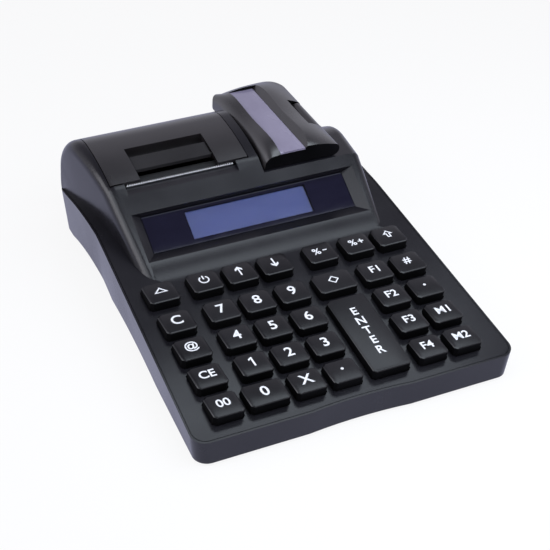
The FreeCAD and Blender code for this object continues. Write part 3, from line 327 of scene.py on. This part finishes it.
# %% Moulded black plastic
def moulded_plastic(name, dark, light, rough_low, rough_high, grain=2400.0, **shader_values):
    made = new_finish(name, **{"IOR": 1.5, **shader_values})
    fine = speckle(made, grain, 2.0)
    cloud = speckle(made, 34.0, 4.0)
    wire(made, tones(made, cloud, dark, light), shader_of(made).inputs["Base Color"])
    wire(made, between(made, cloud, rough_low, rough_high), shader_of(made).inputs["Roughness"])
    bump(made, fine, 0.000012, 0.55)
    return made


# The two blacks and the low specular level below are painted shade, for the key walls and the display's
# front end.
painted_shade_black = ((0.0008, 0.0008, 0.0010), (0.0016, 0.0015, 0.0019))
key_grain = 2900.0
painted_shade_specular = 0.12
case_satin = moulded_plastic("case_satin", (0.0060, 0.0056, 0.0078), (0.0090, 0.0084, 0.0112), 0.21, 0.28)
door_satin = moulded_plastic("door_satin", (0.0062, 0.0050, 0.0056), (0.0090, 0.0074, 0.0082),
                             0.25, 0.33, IOR=2.0)
key_satin = moulded_plastic("key_satin", (0.0032, 0.0030, 0.0040), (0.0052, 0.0049, 0.0064),
                            0.20, 0.27, key_grain)
key_wall = moulded_plastic("key_wall", *painted_shade_black, 0.50, 0.62, key_grain, Specular_IOR_Level=painted_shade_specular)
painted_shade_pod_nose = moulded_plastic("painted_shade_pod_nose", *painted_shade_black, 0.30, 0.40, Specular_IOR_Level=painted_shade_specular)
lever_satin = moulded_plastic("lever_satin", (0.0110, 0.0100, 0.0108), (0.0150, 0.0138, 0.0150), 0.36, 0.46)
tub_satin = moulded_plastic("tub_satin", (0.0060, 0.0060, 0.0070), (0.0095, 0.0095, 0.0105),
                            0.45, 0.60, 1500.0)
socket_gloss = moulded_plastic("socket_gloss", (0.0040, 0.0040, 0.0045), (0.0070, 0.0070, 0.0080),
                               0.16, 0.26)
print("eight black plastics")

# %% [markdown]
# Rubber is duller than the plastic round it and a little grey: its grain is coarse and deep enough
# to scatter the light. The mat, the roller and the feet share this one way of making it.

# %% Rubber
def rubber(name, dark, light, grain):
    made = new_finish(name, IOR=1.45)
    coarse = speckle(made, grain, 5.0)
    wire(made, tones(made, coarse, dark, light), shader_of(made).inputs["Base Color"])
    wire(made, between(made, coarse, 0.66, 0.86), shader_of(made).inputs["Roughness"])
    bump(made, coarse, 0.00005, 0.6)
    return made


mat_rubber = rubber("mat_rubber", (0.0050, 0.0050, 0.0055), (0.0090, 0.0090, 0.0100), 900.0)
roller_rubber = rubber("roller_rubber", (0.0080, 0.0080, 0.0085), (0.0140, 0.0140, 0.0150), 1600.0)
foot_rubber = rubber("foot_rubber", (0.0150, 0.0150, 0.0160), (0.0240, 0.0240, 0.0260), 1100.0)
print("three rubbers")

# %% [markdown]
# Metal is drawn, rolled or cut, and the tool leaves fine lines along its way. A speckle that is
# drawn out along one axis gives these lines in the gloss and in the relief.

# %% Metals
def drawn_metal(name, dark, light, stretch, rough_low, rough_high):
    made = new_finish(name, Metallic=1.0)
    lines = speckle(made, 700.0, 4.0, stretch)
    wire(made, tones(made, lines, dark, light), shader_of(made).inputs["Base Color"])
    wire(made, between(made, lines, rough_low, rough_high), shader_of(made).inputs["Roughness"])
    bump(made, lines, 0.00001, 0.5)
    return made


along_x = (0.04, 1.0, 1.0)
along_z = (1.0, 1.0, 0.05)
bright_steel = drawn_metal("bright_steel", (0.62, 0.62, 0.64), (0.88, 0.88, 0.90), along_x, 0.12, 0.30)
sheet_steel = drawn_metal("sheet_steel", (0.38, 0.39, 0.40), (0.56, 0.57, 0.58), along_z, 0.26, 0.42)
screw_steel = drawn_metal("screw_steel", (0.05, 0.05, 0.055), (0.10, 0.10, 0.11), along_z, 0.30, 0.45)
head_aluminium = drawn_metal("head_aluminium", (0.62, 0.63, 0.65), (0.80, 0.81, 0.83), along_x, 0.24, 0.40)
gear_brass = drawn_metal("gear_brass", (0.52, 0.36, 0.12), (0.72, 0.54, 0.22), along_x, 0.22, 0.36)
print("five metals")

# %% [markdown]
# The tear bar is dark, and its teeth carry a painted highlight, white in front where the teeth glint.
# The white stops at the roots of the teeth, so the finish changes at that height, and only faces that
# look forward get it. The finish isn't metallic: the painted glint shows the same from all sides, as a matt
# paint does.

# %% Tear bar with a painted glint on its teeth
tooth_root = 0.05340
forward_limit = -0.9


def ground_teeth():
    made = new_finish("blade_painted_glint", Specular_IOR_Level=0.4)
    place = add_node(made, "ShaderNodeTexCoord")
    parts = add_node(made, "ShaderNodeSeparateXYZ")
    above_root = add_node(made, "ShaderNodeMath", operation="GREATER_THAN")
    above_root.inputs[1].default_value = tooth_root
    lines = speckle(made, 700.0, 4.0, along_x)
    paint = add_node(made, "ShaderNodeMix", data_type="RGBA")
    facing = add_node(made, "ShaderNodeSeparateXYZ")
    front = add_node(made, "ShaderNodeMath", operation="LESS_THAN")
    front.inputs[1].default_value = forward_limit
    both = add_node(made, "ShaderNodeMath", operation="MULTIPLY")
    wire(made, place.outputs["Object"], parts.inputs[0])
    wire(made, parts.outputs["Z"], above_root.inputs[0])
    wire(made, place.outputs["Normal"], facing.inputs[0])
    wire(made, facing.outputs["Y"], front.inputs[0])
    wire(made, above_root.outputs[0], both.inputs[0])
    wire(made, front.outputs[0], both.inputs[1])
    wire(made, both.outputs[0], paint.inputs["Factor"])
    # Painted highlight: dark below the roots, white on forward faces above them, where the teeth glint.
    wire(made, tones(made, lines, (0.020, 0.020, 0.022), (0.035, 0.035, 0.038)), paint.inputs["A"])
    wire(made, tones(made, lines, (0.88, 0.88, 0.90), (0.95, 0.95, 0.96)), paint.inputs["B"])
    wire(made, paint.outputs["Result"], shader_of(made).inputs["Base Color"])
    wire(made, between(made, lines, 0.30, 0.50), shader_of(made).inputs["Roughness"])
    bump(made, lines, 0.00001, 0.5)
    return made


blade_painted_glint = ground_teeth()
print("teeth are bright above", tooth_root, "m")

# %% [markdown]
# The circuit board is glass cloth in resin under a green lacquer. A weave of two crossed waves
# shows faintly through the lacquer.

# %% Circuit board
def lacquered_board():
    made = new_finish("board_green", IOR=1.5, Coat_Weight=0.4, Coat_Roughness=0.15)
    weave = add_node(made, "ShaderNodeTexWave", wave_type="BANDS", bands_direction="X")
    cross = add_node(made, "ShaderNodeTexWave", wave_type="BANDS", bands_direction="Y")
    place = add_node(made, "ShaderNodeTexCoord")
    both = add_node(made, "ShaderNodeMath", operation="MULTIPLY")
    for band in (weave, cross):
        band.inputs["Scale"].default_value = 260.0
        band.inputs["Distortion"].default_value = 0.4
        wire(made, place.outputs["Object"], band.inputs["Vector"])
    wire(made, weave.outputs["Fac"], both.inputs[0])
    wire(made, cross.outputs["Fac"], both.inputs[1])
    wire(made, tones(made, both.outputs[0], (0.010, 0.060, 0.028), (0.020, 0.100, 0.045), 0.0, 1.0),
         shader_of(made).inputs["Base Color"])
    wire(made, between(made, both.outputs[0], 0.30, 0.45), shader_of(made).inputs["Roughness"])
    bump(made, both.outputs[0], 0.00001, 0.4)
    return made


board_green = lacquered_board()
print("board finish", board_green.name)

# %% [markdown]
# The operator's window is printed dark on its back, but for a clear rectangle before the display.
# Two measures tell a point's place in the sloping face: its distance from the middle, and how far
# up the face it lies, a dot product with the face's own upward direction. A faint cloud in the
# gloss stands for the wiping it gets.

# %% Dark window with a clear rectangle
face_slope = math.radians(30.0)
face_foot = Vector((0.0, -0.00345, 0.029))
face_up = Vector((0.0, math.cos(face_slope), math.sin(face_slope)))
face_out = Vector((0.0, -math.sin(face_slope), math.cos(face_slope)))
clear_half = 0.0340
clear_middle = 0.0243
clear_reach = 0.0079


def within(made, source, middle, reach):
    """One where a number lies within a reach of a middle value, else nought."""
    near = add_node(made, "ShaderNodeMath", operation="COMPARE")
    near.inputs[1].default_value = middle
    near.inputs[2].default_value = reach
    wire(made, source, near.inputs[0])
    return near.outputs[0]


def dark_window():
    made = new_finish("dark_window", IOR=1.49)
    wiped = speckle(made, 60.0, 3.0, (1.0, 3.0, 3.0))
    place = add_node(made, "ShaderNodeTexCoord")
    parts = add_node(made, "ShaderNodeSeparateXYZ")
    climb = add_node(made, "ShaderNodeVectorMath", operation="DOT_PRODUCT")
    climb.inputs[1].default_value = face_up
    clear = add_node(made, "ShaderNodeMath", operation="MULTIPLY")
    wire(made, place.outputs["Object"], parts.inputs[0])
    wire(made, place.outputs["Object"], climb.inputs[0])
    wire(made, within(made, parts.outputs["X"], 0.0, clear_half), clear.inputs[0])
    wire(made, within(made, climb.outputs["Value"], face_foot.dot(face_up) + clear_middle, clear_reach),
         clear.inputs[1])
    paint = add_node(made, "ShaderNodeMix", data_type="RGBA")
    wire(made, clear.outputs[0], paint.inputs["Factor"])
    wire(made, tones(made, wiped, (0.0050, 0.0045, 0.0150), (0.0065, 0.0060, 0.0185)), paint.inputs["A"])
    wire(made, tones(made, wiped, (0.80, 0.80, 0.90), (0.86, 0.86, 0.94)), paint.inputs["B"])
    wire(made, paint.outputs["Result"], shader_of(made).inputs["Base Color"])
    wire(made, clear.outputs[0], shader_of(made).inputs["Transmission Weight"])
    wire(made, between(made, wiped, 0.03, 0.06), shader_of(made).inputs["Roughness"])
    return made


window_finish = dark_window()
print("window finish", window_finish.name)

# %% [markdown]
# The display module is a black frame with a raised glass. The two are one solid, so the finish
# tells them apart by how far a point stands out of the sloping face: one dot product along the
# face's outward direction, compared with a depth. The glass of such a display glows a little,
# because a lamp behind it lights it.

# %% Blue display
glass_level = face_foot.dot(face_out) - 0.0066


def blue_display():
    made = new_finish("display_blue", IOR=1.5)
    place = add_node(made, "ShaderNodeTexCoord")
    stand_out = add_node(made, "ShaderNodeVectorMath", operation="DOT_PRODUCT")
    stand_out.inputs[1].default_value = face_out
    raised = add_node(made, "ShaderNodeMath", operation="GREATER_THAN")
    raised.inputs[1].default_value = glass_level
    cells = speckle(made, 1500.0, 2.0)
    glass = tones(made, cells, (0.014, 0.040, 0.180), (0.018, 0.046, 0.200))
    paint = add_node(made, "ShaderNodeMix", data_type="RGBA")
    paint.inputs["A"].default_value = (0.006, 0.006, 0.008, 1.0)
    wire(made, place.outputs["Object"], stand_out.inputs[0])
    wire(made, stand_out.outputs["Value"], raised.inputs[0])
    wire(made, raised.outputs[0], paint.inputs["Factor"])
    wire(made, glass, paint.inputs["B"])
    wire(made, paint.outputs["Result"], shader_of(made).inputs["Base Color"])
    wire(made, paint.outputs["Result"], shader_of(made).inputs["Emission Color"])
    wire(made, between(made, cells, 0.28, 0.36), shader_of(made).inputs["Roughness"])
    shader_of(made).inputs["Emission Strength"].default_value = 0.18
    return made


display_finish = blue_display()
print("glass level out of the face", round(glass_level, 5))

# %% [markdown]
# The customer's window has a milky film behind it and looks pale from above. It is almost opaque:
# a violet-grey body colour under a clear gloss.

# %% Pale window and its display
def pale_window():
    made = new_finish("pale_window", IOR=1.49, Coat_Weight=1.0, Coat_Roughness=0.03)
    film = speckle(made, 45.0, 3.0, (2.0, 1.0, 1.0))
    wire(made, tones(made, film, (0.215, 0.190, 0.275), (0.255, 0.228, 0.320)),
         shader_of(made).inputs["Base Color"])
    wire(made, between(made, film, 0.20, 0.30), shader_of(made).inputs["Roughness"])
    return made


pale_finish = pale_window()
pod_display_finish = moulded_plastic("pod_display", (0.05, 0.06, 0.10), (0.06, 0.07, 0.12), 0.25, 0.35)
print("pale window finish", pale_finish.name)

# %% [markdown]
# ## Dress the solids
#
# Each solid gets its finish here. A table of names keeps this to one line per piece, and every key
# takes the key plastic. The solids come as flat facets, so a small net of geometry nodes shades
# them smooth, except over edges that turn by more than a set angle. That leaves every corner of
# the CAD model where it was.

# %% Smooth shading by angle
def smooth_by_angle(name, degrees):
    """Geometry nodes that shade smooth and keep edges sharp above an angle."""
    net = bpy.data.node_groups.new(name, "GeometryNodeTree")
    net.interface.new_socket("Geometry", in_out="INPUT", socket_type="NodeSocketGeometry")
    net.interface.new_socket("Geometry", in_out="OUTPUT", socket_type="NodeSocketGeometry")
    entry = net.nodes.new("NodeGroupInput")
    leave = net.nodes.new("NodeGroupOutput")
    faces = net.nodes.new("GeometryNodeSetShadeSmooth")
    faces.domain = "FACE"
    edges = net.nodes.new("GeometryNodeSetShadeSmooth")
    edges.domain = "EDGE"
    angle = net.nodes.new("GeometryNodeInputMeshEdgeAngle")
    gentle = net.nodes.new("FunctionNodeCompare")
    gentle.operation = "LESS_THAN"
    gentle.inputs[1].default_value = math.radians(degrees)
    net.links.new(entry.outputs[0], faces.inputs["Geometry"])
    net.links.new(faces.outputs[0], edges.inputs["Geometry"])
    net.links.new(angle.outputs["Unsigned Angle"], gentle.inputs[0])
    net.links.new(gentle.outputs[0], edges.inputs["Shade Smooth"])
    net.links.new(edges.outputs[0], leave.inputs[0])
    return net


smooth_limit = 20.0
weld_reach = 0.000002
smooth_net = smooth_by_angle("smooth_faces", smooth_limit)


def shade(solid):
    """Weld the facets' shared corners, then shade by angle."""
    weld = solid.modifiers.new("weld", "WELD")
    weld.merge_threshold = weld_reach
    smooth = solid.modifiers.new("smooth", "NODES")
    smooth.node_group = smooth_net


print("smooth shading up to", smooth_limit, "degrees")

# %% [markdown]
# A moulded key has no razor edge. A narrow bevel on the caps catches a thin line of light along
# the front edge, which is what makes a black key stand out from a black deck. The walls of a key
# and the front end of the customer display get painted shade: a darker, duller black than their
# tops, chosen by the way that each face looks.

# %% Finishes for every solid
finish_of = {
    "lower_case": case_satin, "upper_case": case_satin, "printer_door": door_satin,
    "customer_display_shell": door_satin, "customer_display_cover": door_satin,
    "display_hinge": door_satin, "door_lever": lever_satin, "keypad_mat": mat_rubber,
    "main_board": board_green, "display_lens": window_finish, "customer_lens": pale_finish,
    "operator_display": display_finish, "customer_lcd": pod_display_finish,
    "printer_chassis": sheet_steel, "print_head": head_aluminium, "tear_bar": blade_painted_glint,
    "feed_motor": sheet_steel, "motor_pinion": gear_brass, "platen_shaft": bright_steel,
    "platen_roller": roller_rubber, "paper_bay": tub_satin, "door_hinge_pin": bright_steel,
    "display_hinge_pin": bright_steel, "rubber_feet": foot_rubber, "case_screws": screw_steel,
    "drawer_port": socket_gloss, "power_jack": socket_gloss,
}

deck_slope = math.radians(8.0)
deck_out = Vector((0.0, -math.sin(deck_slope), math.cos(deck_slope)))
painted_shade_wall_lean = 0.5
painted_shade_nose_lean = 0.7
edge_width = 0.00013
edge_angle = math.radians(28.0)


def second_finish(solid, finish, chosen):
    """Painted shade: a second, darker finish on the faces whose normal passes a test."""
    solid.data.materials.append(finish)
    for face in solid.data.polygons:
        face.material_index = int(chosen(face.normal))


def round_edges(solid):
    """Narrow bevel, placed between the weld and the shading."""
    edge = solid.modifiers.new("moulded_edge", "BEVEL")
    edge.width = edge_width
    edge.segments = 2
    edge.limit_method = "ANGLE"
    edge.angle_limit = edge_angle
    solid.modifiers.move(len(solid.modifiers) - 1, 1)


for name, solid in nodes.items():
    solid.data.materials.clear()
    solid.data.materials.append(finish_of.get(name, key_satin))
    shade(solid)
    # Key walls get painted shade: a darker, duller black on every face that doesn't look up out of the
    # deck.
    if name.startswith("key_"):
        second_finish(solid, key_wall, lambda normal: normal.dot(deck_out) < painted_shade_wall_lean)
        round_edges(solid)
    # The display shell's forward-facing front end gets painted shade, a darker, duller black.
    if name == "customer_display_shell":
        second_finish(solid, painted_shade_pod_nose, lambda normal: normal.y < -painted_shade_nose_lean)
print(len(nodes), "solids dressed,", sum(n.startswith("key_") for n in nodes), "of them keys")

# %% [markdown]
# ## What is printed on the keys
#
# The legends are white ink, a few hundredths of a millimetre thick. They could be painted in the
# finish, but as thin raised pieces they stay crisp from any distance and keep their place when a
# key goes down. They hold plain numbers and common signs only.

# %% Find the top of a key
def key_top(name):
    """Middle of a key's top face and the directions across, along and out of it."""
    low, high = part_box(name)
    start = Vector(((low.x + high.x) / 2, (low.y + high.y) / 2, high.z + 0.01))
    hit, place, out_of, _ = nodes[name].ray_cast(start, Vector((0, 0, -1)))
    assert hit, name
    across = Vector((1, 0, 0))
    along = out_of.cross(across).normalized()
    return place, across, along, out_of


for name in ("key_eight", "key_total"):
    place, across, along, out_of = key_top(name)
    print(name, "top at", [round(c * 1000, 2) for c in place], "mm, out", [round(c, 3) for c in out_of])

# %% [markdown]
# A legend is made flat, in metres round its own middle, as a closed slab of ink. Letters and
# figures come from Blender's own font, made a little bolder; signs are outlines of corner points.

# %% Ink from letters and from outlines
ink_depth = 0.00006


def ink_from_text(text, size):
    """Slab of ink in the shape of a text, centred on its own box."""
    curve = bpy.data.curves.new("ink", "FONT")
    curve.body = text
    curve.size = size
    curve.offset = size * 0.016
    curve.extrude = ink_depth / 2
    curve.resolution_u = 5
    holder = bpy.data.objects.new("ink", curve)
    bpy.context.scene.collection.objects.link(holder)
    bpy.context.view_layer.update()
    slab = bmesh.new()
    slab.from_mesh(holder.to_mesh())
    holder.to_mesh_clear()
    bpy.data.objects.remove(holder)
    bpy.data.curves.remove(curve)
    bmesh.ops.remove_doubles(slab, verts=slab.verts, dist=size * 0.0005)
    xs = [corner.co.x for corner in slab.verts]
    ys = [corner.co.y for corner in slab.verts]
    middle = Vector(((min(xs) + max(xs)) / 2, (min(ys) + max(ys)) / 2, 0))
    bmesh.ops.translate(slab, verts=slab.verts, vec=-middle)
    return slab


def ink_from_outline(outer, inner=()):
    """Slab of ink from an outline in millimetres, with an inner outline left open."""
    slab = bmesh.new()
    levels = []
    for height in (-ink_depth / 2, ink_depth / 2):
        ring = [slab.verts.new((x / 1000, y / 1000, height)) for x, y in outer]
        hole = [slab.verts.new((x / 1000, y / 1000, height)) for x, y in inner]
        levels.append((ring, hole))
    (low, low_hole), (high, high_hole) = levels
    count = len(outer)
    for n in range(count):
        m = (n + 1) % count
        slab.faces.new((low[n], low[m], high[m], high[n]))
        if inner:
            slab.faces.new((low_hole[m], low_hole[n], high_hole[n], high_hole[m]))
            slab.faces.new((high[n], high[m], high_hole[m], high_hole[n]))
            slab.faces.new((low[m], low[n], low_hole[n], low_hole[m]))
    if not inner:
        slab.faces.new(high)
        slab.faces.new(list(reversed(low)))
    return slab


def moved(slab, x=0.0, y=0.0, turned=0.0):
    """The same slab, turned in its plane and moved, in millimetres."""
    bmesh.ops.rotate(slab, verts=slab.verts, cent=(0, 0, 0), matrix=Matrix.Rotation(turned, 3, "Z"))
    bmesh.ops.translate(slab, verts=slab.verts, vec=(x / 1000, y / 1000, 0))
    return slab


print("ink is", ink_depth * 1e6, "micrometres thick")

# %% [markdown]
# The signs need few corners: an arrow has nine, a triangle or a lozenge is one ring inside
# another, and the switch sign is an open ring with a bar.

# %% Signs
def scaled(points, share):
    """Outline drawn in towards its middle."""
    cx = sum(x for x, y in points) / len(points)
    cy = sum(y for x, y in points) / len(points)
    return [(cx + (x - cx) * share, cy + (y - cy) * share) for x, y in points]


def open_ring(radius, width, gap_degrees, steps=40):
    """Ring with a gap at its top, as one outline."""
    start = math.radians(90 + gap_degrees / 2)
    sweep = math.radians(360 - gap_degrees)
    turns = [start + sweep * n / steps for n in range(steps + 1)]
    far, near = radius + width / 2, radius - width / 2
    outside = [(far * math.cos(t), far * math.sin(t)) for t in turns]
    inside = [(near * math.cos(t), near * math.sin(t)) for t in reversed(turns)]
    return outside + inside


def bar(width, height):
    x, y = width / 2, height / 2
    return [(-x, -y), (x, -y), (x, y), (-x, y)]


def arrow(length, head, stroke):
    """Upward arrow whose head has slanting strokes, from nine corners."""
    half = stroke / 2
    tip = length / 2
    neck = tip - head * 0.62
    wing = head * 0.60
    wing_top = tip - head * 0.55
    wing_foot = tip - head
    return [(-half, -tip), (half, -tip), (half, neck), (wing, wing_foot), (wing, wing_top), (0.0, tip),
            (-wing, wing_top), (-wing, wing_foot), (-half, neck)]


triangle = [(-3.6, -1.7), (3.6, -1.7), (0.0, 2.3)]
lozenge = [(0.0, -2.9), (3.0, 0.0), (0.0, 2.9), (-3.0, 0.0)]
shift_sign = [(-1.1, -2.5), (1.1, -2.5), (1.1, 0.1), (2.9, 0.1), (0.0, 3.0), (-2.9, 0.1), (-1.1, 0.1)]
shift_hole = [(-0.45, -1.85), (0.45, -1.85), (0.45, 0.75), (1.35, 0.75), (0.0, 2.1), (-1.35, 0.75),
              (-0.45, 0.75)]
one_sign = [(-0.25, -3.1), (0.70, -3.1), (0.70, 3.1), (0.0, 3.1), (-1.50, 2.0), (-1.50, 1.0), (-0.25, 1.8)]
dot_radius = 0.75
dot_corners = 20
dot_turns = [math.tau * n / dot_corners for n in range(dot_corners)]
dot = [(dot_radius * math.cos(t), dot_radius * math.sin(t)) for t in dot_turns]
print("signs have", len(triangle), len(lozenge), len(shift_sign), "corners")


# %% [markdown]
# The table of legends says what each key carries, as a list of slabs. Function keys have plain
# signs or numbered letters in place of words.

# %% Legends
figure = 0.0086
letters = 0.0070
small = 0.0062
percent_left = -1.6
beside_percent = 3.0
letter_step = 6.8
arrow_size = (6.8, 3.2, 0.85)


def legends():
    """Key name to the slabs of ink on it."""
    made = {}
    digits = ["zero", "one", "two", "three", "four", "five", "six", "seven", "eight", "nine"]
    for value, word in enumerate(digits):
        if value != 1:
            made["key_" + word] = [ink_from_text(str(value), figure)]
    made["key_one"] = [ink_from_outline(one_sign)]
    made["key_clear"] = [ink_from_text("C", figure)]
    made["key_price"] = [ink_from_text("@", letters)]
    made["key_void"] = [ink_from_text("CE", letters)]
    made["key_lookup"] = [ink_from_text("00", letters)]
    made["key_percent_minus"] = [moved(ink_from_text("%", small), percent_left),
                                 moved(ink_from_outline(bar(2.3, 0.75)), beside_percent)]
    made["key_percent_plus"] = [moved(ink_from_text("%", small), percent_left),
                                moved(ink_from_text("+", small), beside_percent)]
    for value, word in enumerate(["one", "two", "three", "four"], 1):
        made["key_group_" + word] = [ink_from_text("F" + str(value), letters)]
    made["key_pay_one"] = [ink_from_text("M1", letters)]
    made["key_pay_two"] = [ink_from_text("M2", letters)]
    made["key_code"] = [ink_from_text("#", letters)]
    made["key_feed"] = [ink_from_outline(triangle, scaled(triangle, 0.60))]
    made["key_subtotal"] = [ink_from_outline(lozenge, scaled(lozenge, 0.70))]
    made["key_shift"] = [ink_from_outline(shift_sign, shift_hole)]
    made["key_power"] = [ink_from_outline(open_ring(2.4, 0.72, 64.0)),
                         moved(ink_from_outline(bar(0.72, 2.7)), 0, 1.7)]
    made["key_up"] = [ink_from_outline(arrow(*arrow_size))]
    made["key_down"] = [moved(ink_from_outline(arrow(*arrow_size)), turned=math.pi)]
    made["key_times"] = [ink_from_text("X", figure)]
    made["key_point"] = [ink_from_outline(dot)]
    made["key_dot_right"] = [ink_from_outline(dot)]
    made["key_total"] = [moved(ink_from_text(letter, letters), 0, letter_step * (2 - n))
                         for n, letter in enumerate("ENTER")]
    return made


printed = legends()
print(len(printed), "keys carry a legend")

# %% [markdown]
# White ink on a key is never perfectly even: the screen it is pressed through leaves a faint
# mottle. A shared finish gives every legend that mottle, and each legend then rides on its key.

# %% Print the keys
ink_gap = 0.00001
ink_white = new_finish("ink_white", IOR=1.5)
mottle = speckle(ink_white, 2200.0, 3.0)
ink_tones = tones(ink_white, mottle, (0.78, 0.78, 0.80), (0.90, 0.90, 0.91))
wire(ink_white, ink_tones, shader_of(ink_white).inputs["Base Color"])
wire(ink_white, between(ink_white, mottle, 0.42, 0.58), shader_of(ink_white).inputs["Roughness"])
bump(ink_white, mottle, 0.000008, 0.4)


def print_on_key(name, slabs):
    """One piece of ink, laid on the key's top and riding with it."""
    whole = bpy.data.meshes.new("print_" + name[4:])
    joined = bmesh.new()
    for slab in slabs:
        part = bpy.data.meshes.new("part")
        bmesh.ops.recalc_face_normals(slab, faces=slab.faces)
        slab.to_mesh(part)
        slab.free()
        joined.from_mesh(part)
        bpy.data.meshes.remove(part)
    place, across, along, out_of = key_top(name)
    turn = Matrix((across, along, out_of)).transposed().to_4x4()
    lift = place + out_of * (ink_depth / 2 + ink_gap)
    bmesh.ops.transform(joined, verts=joined.verts, matrix=Matrix.Translation(lift) @ turn)
    joined.to_mesh(whole)
    joined.free()
    whole.materials.append(ink_white)
    piece = bpy.data.objects.new("print_" + name[4:], whole)
    bpy.context.scene.collection.objects.link(piece)
    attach(piece, name + "_cap")
    return piece


ink_pieces = [print_on_key(name, slabs) for name, slabs in printed.items()]
print(len(ink_pieces), "legends,", sum(len(p.data.vertices) for p in ink_pieces), "corners in all")

# %% [markdown]
# ## Size
#
# The dressed machine must be as large as the solids, so both boxes are kept for comparison.

# %% Compare the boxes
dressed_box = [list(corner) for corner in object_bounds()]
growth = [round(1000 * (b - a), 3) for a, b in zip(cad_box[1], dressed_box[1])]
print("the dressed box reaches further by", growth, "mm at its upper corner")
